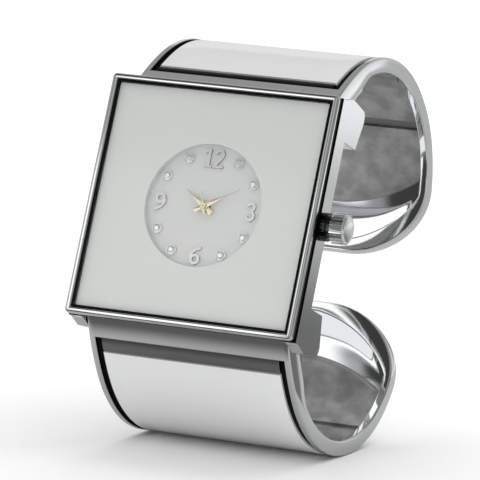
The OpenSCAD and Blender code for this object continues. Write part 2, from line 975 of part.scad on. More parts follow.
// The bridge over the wheels, with its bearings, cut round the button cell
module train_bridge()
    color("#c8c8c4")
        along_y(bridge_face, bridge_back)
            difference() {
                union() {
                    circle(3.1);
                    hull() {
                        circle(1.2);
                        translate(rotor_at)
                            circle(1.2);
                    }
                    for (at = screw_at)
                        hull() {
                            circle(1);
                            translate(at)
                                circle(0.9);
                        }
                }
                for (at = [[0, 0], third_at, fifth_at, rotor_at])
                    translate(at)
                        circle(pivot_r + pivot_gap);
                for (at = screw_at)
                    translate(at)
                        circle(0.32);
                translate(battery_at)
                    circle(battery_d / 2 + 0.25);
            }

// The three screws that hold the bridge
module bridge_screws()
    color("#8892a8")
        for (at = screw_at)
            difference() {
                union() {
                    rod_y(bridge_face, bridge_back, at, 0.3);
                    rod_y(bridge_back, bridge_back + 0.3, at, 0.6);
                }
                along_y(bridge_back + 0.18, bridge_back + 1)
                    translate(at)
                        square([2, 0.16], center = true);
            }

// The button cell: can and raised cap
module battery()
    color(steel)
        union() {
            rod_y(plate_back, plate_back + battery_t - 0.25, battery_at, battery_d / 2 - 0.25);
            rod_y(plate_back + 0.25, plate_back + battery_t, battery_at, battery_d / 2);
        }

// The spring clamp over the button cell
module battery_clamp()
    color(brass)
        along_y(plate_back + battery_t, plate_back + battery_t + 0.12)
            difference() {
                union() {
                    translate(battery_at)
                        square([2.4, battery_d + 1.6], center = true);
                    translate(battery_at + [0, battery_d / 2 + 0.4])
                        square([4, 0.8], center = true);
                }
                translate(battery_at)
                    square([1, 3], center = true);
            }

// The circuit board at the stem side, cut out round the wheels
module circuit_board()
    color("#2f6b45")
        along_y(plate_back, plate_back + 0.25)
            difference() {
                circle(move_r - 0.3);
                translate([-move_r, -move_r])
                    square([move_r + board_x, 2 * move_r]);
                translate([0, stem_z - slot_half - 0.15])
                    square([board_x + 1.3, 2 * slot_half + 0.3]);
            }

board_x = 6.3;

// The quartz crystal in its round can, on the board
module quartz_can()
    color(steel)
        translate([6.9, plate_back + 0.25 + 0.55, -4.2])
            cylinder(h = 2.9, r = 0.55, $fn = 48);

// The coil: copper winding, end cheeks and iron core
module coil()
    color("#b5652b")
        translate([coil_at[0], plate_back + coil_r + 0.05, coil_at[1]])
            rotate([0, 90, 0]) {
                cylinder(h = coil_len, r = coil_r - 0.1, center = true);
                for (s = [-1, 1])
                    translate([0, 0, s * coil_len / 2])
                        cylinder(h = 0.3, r = coil_r, center = true);
                cylinder(h = coil_len + 1.4, r = 0.3, center = true);
            }

// The stator: a flat yoke from the coil's ends round the rotor
module stator() {
    half = coil_len / 2 + 0.45;
    y0 = plate_back + 0.1;
    color(dark_steel)
        along_y(y0, y0 + 0.4)
            difference() {
                polygon([
                    coil_at + [-half, 0.5],
                    rotor_at + [-1.9, -0.2],
                    rotor_at + [-1.1, 1.3],
                    rotor_at + [1, 1.2],
                    rotor_at + [1.9, -1],
                    coil_at + [half - 0.9, 1.7],
                    coil_at + [half, 0.5],
                    coil_at + [half - 0.6, 0.95],
                    coil_at + [-half + 0.3, 0.95]
                ]);
                translate(rotor_at)
                    circle(magnet_d / 2 + 0.15);
                circle(centre_m * centre_n / 2 + 0.25);
            }
}

// The plastic ring that carries the dial and holds the movement in the case
module movement_holder()
    color("#d8d8d2")
        difference() {
            along_y(dial_back, bridge_back)
                square([dial_w, dial_w], center = true);
            along_y(dial_back - 1, bridge_back + 1)
                circle(holder_bore);
            along_y(stem_y - 1, bridge_back + 1)
                translate([0, stem_z - slot_half - 0.25])
                    square([half_w, 2 * slot_half + 0.5]);
        }

back_w = core_w - 0.1;
back_h = core_h - 0.1;
screw_x = back_w - 1.1;
screw_z = 6;
screw_r = 0.5;

// The case back: a plate with a soft edge and a plug into the case
module case_back()
    color(steel)
        difference() {
            union() {
                along_y(core_back, core_back + back_t - 0.3)
                    soft_rect(back_w, back_h, 1);
                along_y(core_back + back_t - 0.3, core_back + back_t)
                    soft_rect(back_w - 0.35, back_h - 0.35, 0.8);
                along_y(core_back - 0.45, core_back)
                    difference() {
                        soft_rect(cavity - 0.55, cavity - 0.55, 1);
                        soft_rect(cavity - 1.5, cavity - 1.5, 0.6);
                    }
            }
            for (sx = [-1, 1], sz = [-1, 1])
                rod_y(core_back - 1, core_back + 2, [sx * screw_x, sz * screw_z], screw_r + 0.05);
        }

// The square gasket round the case back's plug
module case_back_gasket()
    color(black)
        along_y(core_back - 0.45, core_back)
            difference() {
                square([2 * cavity - 0.04, 2 * cavity - 0.04], center = true);
                soft_rect(cavity - 0.53, cavity - 0.53, 1);
            }

// The four screws of the case back
module case_back_screws()
    color(steel)
        for (sx = [-1, 1], sz = [-1, 1])
            difference() {
                union() {
                    rod_y(core_back - 0.9, core_back + back_t,
                          [sx * screw_x, sz * screw_z], screw_r);
                    rod_y(core_back + back_t, core_back + back_t + 0.25,
                          [sx * screw_x, sz * screw_z], 0.85);
                }
                along_y(core_back + back_t + 0.1, core_back + back_t + 1)
                    translate([sx * screw_x, sz * screw_z])
                        square([3, 0.22], center = true);
            }

stem_in = 5.1;
crown_x = half_w + 0.15;
barrel_x = crown_x + collar_len + neck_len;
cap_x = barrel_x + crown_len;
stem_out = cap_x - 0.3;
tube_out = 1.9;
seal_t = 0.3;

// The tube pressed into the case side, which the stem passes through
module crown_tube()
    color(steel)
        difference() {
            rod_x(cavity + 0.5, crown_x + tube_out, stem_y, stem_z, tube_d / 2);
            rod_x(0, half_w + 10, stem_y, stem_z, stem_d / 2 + 0.15);
        }

// A ribbed bar along X, by its radius over the ribs
module ribbed(x0, x1, r)
    along_x(x0, x1)
        translate([stem_y, stem_z])
            polygon([
                for (i = [0 : crown_ribs - 1])
                    for (p = [[r - 0.22, -0.32], [r, -0.18], [r, 0.18], [r - 0.22, 0.32]])
                        let (a = 360 / crown_ribs * (i + p[1]))
                            p[0] * [cos(a), sin(a)]
            ]);

// The crown: ribbed collar, plain neck, ribbed grip and a smooth end that is
// chamfered and slightly domed; hollow over the tube
module crown() {
    r = crown_d / 2;
    chamfer = crown_cap * 0.6;
    color(chrome)
        difference() {
            union() {
                ribbed(crown_x, crown_x + collar_len, r - 0.25);
                rod_x(crown_x, barrel_x + 0.1, stem_y, stem_z, r - 0.7);
                ribbed(barrel_x, cap_x, r);
                translate([cap_x, stem_y, stem_z])
                    rotate([0, 90, 0]) {
                        cylinder(h = chamfer, r1 = r - 0.22, r2 = r - 0.5);
                        translate([0, 0, chamfer])
                            cylinder(h = crown_cap - chamfer, r1 = r - 0.5, r2 = r - 1.3);
                    }
            }
            rod_x(crown_x - 1, crown_x + tube_out + 0.2, stem_y, stem_z, tube_d / 2 + seal_t);
            rod_x(crown_x, stem_out, stem_y, stem_z, stem_d / 2);
        }
}

// The sealing ring inside the crown, round the tube
module crown_gasket()
    color(black)
        difference() {
            rod_x(crown_x + 0.1, crown_x + 0.7, stem_y, stem_z, tube_d / 2 + seal_t);
            rod_x(crown_x, crown_x + 1, stem_y, stem_z, tube_d / 2 + fit);
        }

// The winding stem with the groove of the detent and the setting teeth
module winding_stem()
    color(steel)
        difference() {
            union() {
                rod_x(stem_in, stem_out, stem_y, stem_z, stem_d / 2);
                translate([stem_in, stem_y, stem_z])
                    rotate([90, 0, 90])
                        linear_extrude(0.7)
                            difference() {
                                circle(0.55);
                                for (k = [0 : 7])
                                    rotate(45 * k)
                                        translate([0.55, 0])
                                            square([0.18, 0.16], center = true);
                            }
            }
            difference() {
                rod_x(detent_x - 0.05, detent_x + detent_t + 0.05, stem_y, stem_z, stem_d);
                rod_x(detent_x - 1, detent_x + 1, stem_y, stem_z, groove_r);
            }
        }

detent_x = 6.9;
detent_t = 0.4;
groove_r = stem_d / 2 - 0.17;

// The detent that slides with the stem and holds it in its groove
module stem_detent() {
    bore = groove_r + pivot_gap;
    half = slot_half - 0.2;
    color(steel)
        along_x(detent_x, detent_x + detent_t)
            translate([stem_y, stem_z])
                difference() {
                    translate([-stem_d / 2, -half])
                        square([stem_d, 2 * half]);
                    circle(bore);
                    translate([-stem_d, -bore])
                        square([stem_d, 2 * bore]);
                }
}

// Mirrors a half-cuff piece to the lower side
module lower()
    mirror([0, 0, 1])
        children();

case_middle();
bezel();
crystal();
crystal_gasket();
dial_mask();
dial();
dial_numerals();
stone_cups();
dial_stones();
case_back();
case_back_gasket();
case_back_screws();
movement_holder();
main_plate();
train_bridge();
bridge_screws();
battery();
battery_clamp();
circuit_board();
quartz_can();
coil();
stator();
crown_tube();
hinge_pin();  // upper_hinge_pin
lower() hinge_pin();  // lower_hinge_pin
hinge_spring();  // upper_hinge_spring
lower() hinge_spring();  // lower_hinge_spring
seconds_hand();
seconds_wheel();
minute_hand();
cannon_pinion();
hour_hand();
hour_wheel();
minute_wheel();
centre_wheel();
third_wheel();
fifth_wheel();
rotor();
stem_detent();
crown();
crown_gasket();
winding_stem();
cuff_shell();  // upper_cuff_shell
end_bar();  // upper_end_bar
inlay();  // upper_inlay
inlay_bed();  // upper_inlay_bed
front_lining();  // upper_front_lining
rear_lining();  // upper_rear_lining
lower() cuff_shell();  // lower_cuff_shell
lower() end_bar();  // lower_end_bar
lower() inlay();  // lower_inlay
lower() inlay_bed();  // lower_inlay_bed
lower() front_lining();  // lower_front_lining
lower() rear_lining();  // lower_rear_lining
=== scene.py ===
# %% [markdown]
# # A bangle watch
# The watch is a square quartz head held between two sprung half cuffs. Its
# solids come from the CAD frame, in metres, and this lesson dresses them:
# smooth surfaces for what is polished, and a finish for every piece.
# Lengths below are in millimetres and become metres when a mesh is made.

# %% Load the frame
import json
import math

import bmesh
import bpy
import numpy as np
from mathutils import Matrix, Vector

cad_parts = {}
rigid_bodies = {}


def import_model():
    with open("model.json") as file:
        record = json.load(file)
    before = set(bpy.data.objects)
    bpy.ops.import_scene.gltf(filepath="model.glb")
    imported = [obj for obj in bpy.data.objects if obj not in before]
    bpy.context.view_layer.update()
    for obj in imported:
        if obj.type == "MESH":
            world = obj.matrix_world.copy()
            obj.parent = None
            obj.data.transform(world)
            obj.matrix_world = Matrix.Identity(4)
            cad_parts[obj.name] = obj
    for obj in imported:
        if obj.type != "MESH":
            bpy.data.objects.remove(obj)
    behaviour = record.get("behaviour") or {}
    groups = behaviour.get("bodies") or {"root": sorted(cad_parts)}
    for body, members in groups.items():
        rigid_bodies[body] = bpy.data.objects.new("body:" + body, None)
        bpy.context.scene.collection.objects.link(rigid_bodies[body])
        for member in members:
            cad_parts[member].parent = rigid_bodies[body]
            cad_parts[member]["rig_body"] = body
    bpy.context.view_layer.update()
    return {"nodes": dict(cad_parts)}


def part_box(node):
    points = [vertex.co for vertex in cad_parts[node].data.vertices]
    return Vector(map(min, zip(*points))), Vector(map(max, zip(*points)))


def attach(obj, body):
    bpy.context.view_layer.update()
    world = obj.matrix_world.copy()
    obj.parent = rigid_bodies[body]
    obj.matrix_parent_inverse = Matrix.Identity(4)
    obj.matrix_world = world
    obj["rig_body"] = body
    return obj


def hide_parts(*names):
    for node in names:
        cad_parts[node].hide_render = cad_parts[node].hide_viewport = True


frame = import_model()
MM = 0.001

# %% [markdown]
# Shader maths reads best as plain expressions. One class wraps the output of
# a node and turns arithmetic into Math nodes, and one method adds any other
# node. Both could be written out node by node, but a finish then takes a page.


# %% Sockets and graphs
class Socket:
    """One output of a node. Arithmetic on it adds Math nodes to its graph."""

    def __init__(self, graph, output):
        self.graph, self.output = graph, output

    def maths(self, operation, first, second):
        """One Math node on two values."""
        return self.graph.node("ShaderNodeMath", {"operation": operation}, {0: first, 1: second})

    def __add__(self, other):
        return self.maths("ADD", self, other)

    def __mul__(self, other):
        return self.maths("MULTIPLY", self, other)

    def __sub__(self, other):
        return self.maths("SUBTRACT", self, other)

    def __rsub__(self, other):
        return self.maths("SUBTRACT", other, self)

    __radd__, __rmul__ = __add__, __mul__


class Graph:
    """The node tree of a material or of the world."""

    def __init__(self, owner):
        owner.use_nodes = True
        self.tree = owner.node_tree
        self.tree.nodes.clear()

    def node(self, kind, settings=None, values=None, output=0):
        """Adds a node: its settings first, then the value or link of each socket.
        The output is an index or a name."""
        made = self.tree.nodes.new(kind)
        for name, value in (settings or {}).items():
            setattr(made, name, value)
        for key, value in (values or {}).items():
            if isinstance(value, Socket):
                self.tree.links.new(value.output, made.inputs[key])
            else:
                made.inputs[key].default_value = value
        return Socket(self, made.outputs[output]) if made.outputs else None

    def place(self):
        """Object coordinates: the piece's own place in the frame, in metres."""
        return self.node("ShaderNodeTexCoord", output="Object")

    def ray(self, kind):
        """1 on rays of a kind, such as Camera or Glossy, and 0 on the others."""
        return self.node("ShaderNodeLightPath", output=f"Is {kind} Ray")

    def backface(self):
        """1 where a surface is met from behind."""
        return self.node("ShaderNodeNewGeometry", output="Backfacing")

    def measure(self, operation, *vectors):
        """A number from vectors, such as their DOT_PRODUCT or one's LENGTH."""
        values = dict(enumerate(vectors))
        return self.node("ShaderNodeVectorMath", {"operation": operation}, values, "Value")

    def smooth(self, value, low, high):
        """0 at low and before it, 1 at high and past it, a smoothstep between."""
        values = {"Value": value, "From Min": low, "From Max": high}
        return self.node("ShaderNodeMapRange", {"interpolation_type": "SMOOTHSTEP"}, values)

    def mix(self, factor, first, second):
        """A shader between two, by a factor from 0 to 1."""
        return self.node("ShaderNodeMixShader", values={0: factor, 1: first, 2: second})

    def end(self, shader, kind="Material"):
        """Gives the shader to the material or the world."""
        self.node(f"ShaderNodeOutput{kind}", values={"Surface": shader})

    def noise(self, scale, detail=3.0, place=None):
        """Noise between 0 and 1. The scale is in waves a metre."""
        values = {"Vector": place or self.place(), "Scale": scale, "Detail": detail}
        return self.node("ShaderNodeTexNoise", values=values)

    def stretched(self, factors):
        """Object coordinates with each axis multiplied by its factor."""
        return self.node("ShaderNodeMapping", values={"Vector": self.place(), "Scale": factors})

    def blend(self, factor, first, second):
        """A colour between two, by a factor from 0 to 1."""
        values = {0: factor, 6: (*first, 1.0), 7: (*second, 1.0)}
        return self.node("ShaderNodeMix", {"data_type": "RGBA"}, values, output=2)


def surface(name, paint, fixed):
    """A material of one Principled shader. paint(graph) gives its varying
    sockets, and fixed holds the sockets that are the same all over."""
    made = bpy.data.materials.new(name)
    graph = Graph(made)
    values = dict(fixed)
    values.update(paint(graph))
    graph.end(graph.node("ShaderNodeBsdfPrincipled", values=values))
    made.diffuse_color = fixed.get("Base Color", (0.8, 0.8, 0.8, 1.0))
    return made


def painted_metal(name, paint, colour):
    """A metal of one colour with its own paint function."""
    return surface(name, paint, {"Base Color": (*colour, 1.0), "Metallic": 1.0})


def metal(name, colour, roughness, spread, scale=300.0):
    """A metal whose roughness wanders by spread, as a hand-polished one does."""

    def paint(graph):
        return {"Roughness": graph.noise(scale) * spread + (roughness - spread / 2)}

    return painted_metal(name, paint, colour)


print("graph helpers ready")

# %% [markdown]
# Most of this watch is bright plated metal. A real one is polished by hand,
# so its gloss wanders a little. A noise in the roughness shows that and costs
# nothing, where a scratch picture would stick out in close views.

# %% Metals
chrome = metal("Chrome", (0.80, 0.81, 0.82), 0.07, 0.03)
case_steel = metal("Case_steel", (0.78, 0.79, 0.80), 0.12, 0.05)
bright_steel = metal("Bright_steel", (0.80, 0.81, 0.82), 0.15, 0.05)
# The two bar finishes paint one dark polished part in two tones: painted light on the lower cuff's
# bar, painted shade on the upper one's.
dark_bar = metal("Polished_bar_painted_light", (0.25, 0.25, 0.255), 0.30, 0.04)
bar_painted_shade = metal("Polished_bar_painted_shade", (0.02, 0.02, 0.02), 0.30, 0.04)
# Dark steel for the crown's neck and the hand pin: painted shade.
dark_painted_shade = metal("Painted_shade_dark_steel", (0.10, 0.10, 0.10), 0.25, 0.08)
satin_cap = metal("Satin_cap", (0.92, 0.93, 0.94), 0.24, 0.06)
# Darker steel for the side walls of the raised numerals: painted shade, which shows as a dark
# outline.
side_painted_shade = metal("Numeral_side_painted_shade", (0.34, 0.34, 0.34), 0.36, 0.08, 900.0)
brass = metal("Wheel_brass", (0.78, 0.60, 0.26), 0.28, 0.08, 900.0)
cell_steel = metal("Cell_steel", (0.72, 0.73, 0.74), 0.25, 0.08, 900.0)
iron = metal("Stator_iron", (0.42, 0.43, 0.44), 0.35, 0.10, 900.0)


def paint_lining(graph):
    """Tumbled sheet: dull, with soft clouds of tone and a spotted gloss."""
    clouds = (graph.noise(330.0, 3.0) - 0.38) * 3.6
    spots = graph.noise(900.0, 4.0)
    base = graph.blend(clouds, (0.27, 0.27, 0.27), (0.42, 0.42, 0.42))
    return {"Base Color": base, "Roughness": spots * 0.25 + 0.24}


def paint_back(graph):
    """A brushed plate: fine lines along the width."""
    lines = graph.noise(500.0, 3.0, graph.stretched((0.05, 1.0, 2.5)))
    return {"Roughness": lines * 0.2 + 0.2}


def paint_plate(graph):
    """Round grained spots, as on a finished movement plate."""
    values = {"Vector": graph.place(), "Scale": 900.0}
    cells = graph.node("ShaderNodeTexVoronoi", {"feature": "F1"}, values)
    return {"Roughness": cells * 0.25 + 0.22}


def paint_winding(graph):
    """Copper turns: fine bands along the coil."""
    settings = {"wave_type": "BANDS", "bands_direction": "X"}
    values = {"Vector": graph.place(), "Scale": 1500.0}
    turns = graph.node("ShaderNodeTexWave", settings, values)
    bump = graph.node("ShaderNodeBump", values={"Height": turns, "Distance": 0.00004})
    return {"Normal": bump, "Roughness": turns * 0.1 + 0.25}


lining = surface("Steel_lining", paint_lining, {"Metallic": 0.55})
# Dark steel for the upper slot's floor: painted shade.
slot_painted_shade = metal("Slot_floor_painted_shade", (0.24, 0.24, 0.24), 0.45, 0.10, 420.0)
# The back's steel is set darker than the case's: painted shade of the inside of the bangle, on a
# real brushed finish.
brushed = painted_metal("Brushed_back_painted_shade", paint_back, (0.55, 0.56, 0.57))
grained = painted_metal("Grained_plate", paint_plate, (0.72, 0.70, 0.62))
copper = painted_metal("Copper_winding", paint_winding, (0.72, 0.36, 0.18))
print("metals:", len(bpy.data.materials))

# %% [markdown]
# The enamel is white and glossy, the panel under the glass white and satin,
# and the dial a pale pearl plate. Black shows only as thin lines: the rubber
# gasket round the glass, and painted shade in the groove under the bezel and
# on the bed under the enamel.


# %% Enamel, dial, rubber and plastics
def coated(name, colour, roughness, spread, **more):
    """A plain glossy colour whose gloss wanders by spread."""

    def paint(graph):
        return {"Roughness": graph.noise(250.0) * spread + (roughness - spread / 2)}

    return surface(name, paint, {"Base Color": (*colour, 1.0), **more})


def paint_pearl(graph):
    """Pearl: very soft clouds between a cool and a warm grey."""
    clouds = graph.noise(160.0, 2.0)
    base = graph.blend(clouds, (0.66, 0.665, 0.68), (0.71, 0.705, 0.70))
    return {"Base Color": base, "Roughness": clouds * 0.1 + 0.35}


def paint_board(graph):
    """Green lacquer over copper tracks."""
    settings = {"feature": "DISTANCE_TO_EDGE", "distance": "EUCLIDEAN"}
    values = {"Vector": graph.place(), "Scale": 700.0}
    tracks = graph.node("ShaderNodeTexVoronoi", settings, values)
    base = graph.blend(tracks, (0.12, 0.34, 0.18), (0.04, 0.17, 0.09))
    return {"Base Color": base, "Roughness": tracks * 0.2 + 0.3}


enamel = coated("White_enamel", (0.76, 0.765, 0.765), 0.16, 0.04, **{"Coat Weight": 0.3})
under_glass = coated("White_panel", (0.70, 0.712, 0.703), 0.45, 0.05)
champagne = coated("Champagne_gold", (0.80, 0.75, 0.53), 0.22, 0.06, Metallic=0.5)
rose = coated("Rose_champagne", (0.80, 0.71, 0.60), 0.22, 0.06, Metallic=0.5)
satin_silver = coated("Satin_silver", (0.72, 0.72, 0.72), 0.30, 0.08, Metallic=0.35)
# Black for the groove under the bezel and the bed under the enamel: painted shade.
painted_shade_black = coated("Painted_shade_black", (0.003, 0.003, 0.003), 0.50, 0.10, **{"Specular IOR Level": 0.08})
rubber = coated("Black_rubber", (0.004, 0.004, 0.004), 0.60, 0.10, **{"Specular IOR Level": 0.10})
holder_plastic = coated("Holder_plastic", (0.62, 0.62, 0.59), 0.45, 0.10)
pearl = surface("Pearl_dial", paint_pearl, {"Metallic": 0.0})
board = surface("Circuit_board", paint_board, {"Metallic": 0.0})
print("colours:", len(bpy.data.materials))

# %% [markdown]
# Watch glass is thin and flat, so light goes straight through it and a few
# per cent bounces off. Mixing a clear and a mirror-like shader by Fresnel
# gives that without the dark shadow that a refracting slab casts indoors.


# %% Glass and stones
def clear_glass(name, tint, roughness):
    """Clear glass: see-through, with a mirror share given by Fresnel on its
    outer faces. Inner faces only let light out."""
    made = bpy.data.materials.new(name)
    graph = Graph(made)
    gloss = graph.noise(200.0) * 0.01 + roughness
    mirror = {"Base Color": (1.0, 1.0, 1.0, 1.0), "Metallic": 1.0, "Roughness": gloss}
    through = graph.node("ShaderNodeBsdfTransparent", values={"Color": (*tint, 1.0)})
    shine = graph.node("ShaderNodeBsdfPrincipled", values=mirror)
    share = graph.node("ShaderNodeFresnel", values={"IOR": 1.35}) * (1.0 - graph.backface())
    graph.end(graph.mix(share, through, shine))
    return made


glass = clear_glass("Watch_glass", (0.975, 0.98, 0.975), 0.02)


def paint_stone(graph):
    """Cut crystal over foil: a fine noise paints grey and white spots into its colour, painted
    sparkle.
    """
    sparkle = graph.noise(2600.0, 1.0)
    base = graph.blend(sparkle, (0.62, 0.63, 0.64), (1.0, 1.0, 1.0))
    return {"Base Color": base, "Roughness": sparkle * 0.05 + 0.02}


stone = surface("Cut_stone", paint_stone, {"Metallic": 0.45, "IOR": 1.9})
print("finishes:", len(bpy.data.materials))

# %% [markdown]
# Every new piece is a surface on a grid of points. Helpers do the rest: the
# quads of a grid, the caps of a tube, and the mesh itself, which closes its
# seams, turns its faces outward and rides on its CAD body.


# %% Grid and piece helpers
def grid_quads(rows, columns, start=0, round_rows=False, round_columns=False):
    """Quads between neighbours of a grid stored row after row from start."""
    row = np.arange(rows if round_rows else rows - 1)
    column = np.arange(columns if round_columns else columns - 1)
    row, column = np.meshgrid(row, column, indexing="ij")
    below, beside = (row + 1) % rows, (column + 1) % columns
    corners = [
        row * columns + column,
        row * columns + beside,
        below * columns + beside,
        below * columns + column,
    ]
    return (np.stack(corners, -1).reshape(-1, 4) + start).tolist()


def tube_faces(rows, columns):
    """Quads of rings joined in order, with a cap on the first and last ring."""
    caps = [list(range(columns)), list(range((rows - 1) * columns, rows * columns))]
    return grid_quads(rows, columns, round_columns=True) + caps


def ring_at(x, y, z):
    """Points at widths x and heights z, all at one Y."""
    return np.stack([x, np.full(len(x), y), z], -1)


def smoothstep(value, low, high):
    """0 at low, 1 at high, and 3tt - 2ttt between, t being the share of the way."""
    share = np.clip((value - low) / (high - low), 0.0, 1.0)
    return share * share * (3.0 - 2.0 * share)


def finish_mesh(mesh, sharp):
    """Merges doubles, turns faces outward and keeps edges sharper than sharp."""
    shape = bmesh.new()
    shape.from_mesh(mesh)
    bmesh.ops.remove_doubles(shape, verts=shape.verts, dist=2e-7)
    bmesh.ops.dissolve_degenerate(shape, edges=shape.edges, dist=1e-8)
    bmesh.ops.recalc_face_normals(shape, faces=shape.faces)
    shape.to_mesh(mesh)
    shape.free()
    mesh.shade_smooth()
    mesh.set_sharp_from_angle(angle=math.radians(sharp))


def add_piece(name, mesh, body, finish, stands_for=()):
    """Puts a finished mesh into the scene on its body."""
    mesh.materials.clear()
    mesh.materials.append(finish)
    piece = bpy.data.objects.new(name, mesh)
    bpy.context.scene.collection.objects.link(piece)
    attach(piece, body)
    if stands_for:
        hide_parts(*stands_for)
    print(name, len(mesh.polygons), "faces")
    return piece


def grid_piece(name, points, faces, body, finish, stands_for=(), sharp=35.0):
    """A piece from points in millimetres and faces."""
    mesh = bpy.data.meshes.new(name)
    mesh.from_pydata((np.asarray(points) * MM).tolist(), [], faces)
    finish_mesh(mesh, sharp)
    return add_piece(name, mesh, body, finish, stands_for)


def box_mm(node):
    """Lowest and highest corner of a CAD node, in millimetres."""
    low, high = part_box(node)
    return np.array(low) / MM, np.array(high) / MM


print("grid helpers ready")

# %% [markdown]
# The half cuff is the form that makes this watch. Seen from the side its
# outer line is three arcs that run into each other. Every surface on it,
# from the rim to the lining, is the same line at some depth, so one function
# of width, angle and depth places them all. Near the tip the depth is taken
# straight back instead of square to the surface, as the die cuts it.

# %% The cuff's surface
shell_low, shell_high = box_mm("upper_cuff_shell")
CUFF_HALF, TIP_HEIGHT = shell_high[0], shell_low[2]
CREST_TOP = np.array([26.24, 31.15])
CREST_RADIUS, SHOULDER_RADIUS, BACK_RADIUS = 24.71, 40.0, 19.4
SHOULDER_ANGLE, BACK_ANGLE = np.radians(-38.3), np.radians(33.6)
TIP_RADIUS = 12.0
CUT_FROM, CUT_FULL = np.radians(40.0), np.radians(73.0)


def toward(angle):
    """Unit step in Y and Z at an angle from straight up toward the back."""
    return np.stack([np.sin(angle), np.cos(angle)], -1)


crest_centre = CREST_TOP - np.array([0.0, CREST_RADIUS])
shoulder_centre = crest_centre + (CREST_RADIUS - SHOULDER_RADIUS) * toward(SHOULDER_ANGLE)
back_centre = crest_centre + (CREST_RADIUS - BACK_RADIUS) * toward(BACK_ANGLE)


def on_cuff(x, angle, depth, side):
    """Point at width x, angle and depth: the arc's centre plus (radius - depth)
    along the angle, mirrored by side. On the back arc the height moves, by a
    smooth step, to the outer surface's height at that angle."""
    x, angle, depth = np.broadcast_arrays(*map(np.asarray, (x, angle, depth)))
    front, rear = angle < SHOULDER_ANGLE, angle > BACK_ANGLE
    radius = np.where(front, SHOULDER_RADIUS, np.where(rear, BACK_RADIUS, CREST_RADIUS))
    behind = np.where(rear[..., None], back_centre, crest_centre)
    centre = np.where(front[..., None], shoulder_centre, behind)
    step = smoothstep(angle, CUT_FROM, CUT_FULL)
    rise = (radius - depth * (1.0 - step)) * np.cos(angle)
    reach = np.sqrt(np.maximum((radius - depth) ** 2 - rise**2, 0.0))
    y = centre[..., 0] + np.where(angle < 0.0, -reach, reach)
    return np.stack([x, y, side * (centre[..., 1] + rise)], -1)


def angle_at(height):
    """Angle on the back arc at which the outer surface has a height."""
    return np.arccos((height - back_centre[1]) / BACK_RADIUS)


print("arc centres:", crest_centre.round(2), shoulder_centre.round(2), back_centre.round(2))

# %% [markdown]
# An edge on the cuff runs along one side, round the tip and back along the
# other side. Rails at several widths and depths, joined in order, make the
# rim, the groove, the flange and the lip; rows between the two sides fill
# the floor. This is a profile carried along a path, with closed ends.

# %% Paths and slabs
CORNER_STEPS, FLAT_STEPS, ARC_STEPS, FLAT_HALF = 22, 9, 60, 2.5


def whole_path(side_x, side_angles, corner_x, corner_height):
    """Left side, left corner, flat tip, and the same mirrored: widths and angles."""
    left_x = np.r_[np.full(len(side_angles), -side_x), corner_x[1:]]
    left_angle = np.r_[side_angles, angle_at(corner_height[1:])]
    flat_x = np.linspace(left_x[-1], -left_x[-1], FLAT_STEPS)[1:-1]
    flat_angle = np.full(len(flat_x), left_angle[-1])
    x = np.r_[left_x, flat_x, -left_x[::-1]]
    return x, np.r_[left_angle, flat_angle, left_angle[::-1]]


def tip_path(inset, side_angles):
    """The cuff's outline, moved inward by inset: quarter circles at the tip."""
    half, radius = CUFF_HALF - inset, TIP_RADIUS - inset
    turn = np.linspace(0.0, np.pi / 2, CORNER_STEPS)
    corner_x = -(half - radius) - radius * np.cos(turn)
    corner_height = TIP_HEIGHT + TIP_RADIUS - radius * np.sin(turn)
    return whole_path(half, side_angles, corner_x, corner_height)


def arc_path(half, height, radius, side_angles, lift=None):
    """An outline that ends in one wide arc at a height: z = height + radius
    less the arc, from the side to a short flat in the middle. A lift is a
    height added as a function of the width."""
    x = np.linspace(-half, -FLAT_HALF, ARC_STEPS)
    rise = height + radius - np.sqrt(radius**2 - x**2)
    start = back_centre[1] + BACK_RADIUS * np.cos(side_angles[-1])
    if lift:
        rise = rise + lift(x)
    x, rise = np.r_[-half, x], np.r_[max(start, rise[0]), rise]
    along = np.r_[0.0, np.cumsum(np.hypot(np.diff(x), np.diff(rise)))]
    even = np.linspace(0.0, along[-1], CORNER_STEPS)
    corner_x, corner_height = np.interp(even, along, x), np.interp(even, along, rise)
    return whole_path(half, side_angles, corner_x, corner_height)


def slab(rails, side):
    """A closed solid: rails joined in order round the edge, rows across on its
    first and last rail, and a cap at the case end."""
    points, faces = [], []
    ring = np.stack([on_cuff(x, angle, depth, side) for x, angle, depth in rails])
    count = ring.shape[1]
    points.append(ring.reshape(-1, 3))
    faces += grid_quads(len(rails), count)
    rows = (count - (FLAT_STEPS - 2)) // 2
    share = np.linspace(1.0, -1.0, FLAT_STEPS)
    starts = []
    for x, angle, depth in (rails[0], rails[-1]):
        depth = np.broadcast_to(depth, x.shape)
        starts.append(sum(map(len, points)))
        across = on_cuff(x[:rows, None] * share, angle[:rows, None], depth[:rows, None], side)
        points.append(across.reshape(-1, 3))
        faces += grid_quads(rows, FLAT_STEPS, starts[-1])
    top = list(range(starts[0], starts[0] + FLAT_STEPS))
    bottom = list(range(starts[1], starts[1] + FLAT_STEPS))
    left = [row * count for row in range(1, len(rails) - 1)]
    right = [place + count - 1 for place in left]
    faces.append(top + right + bottom[::-1] + left[::-1])
    return np.concatenate(points), faces


print("path points:", 2 * CORNER_STEPS + FLAT_STEPS)

# %% [markdown]
# The shell is one bright sheet. From its edge inward it has a rounded rim,
# a recess for the enamel on the outside, and on the wrist side a flange that
# is deeper next to the case, then a channel for the lining. At the tip the
# flange widens to a lip with a wide curved inner edge, and the sheet has a
# shallow hollow behind the lip.

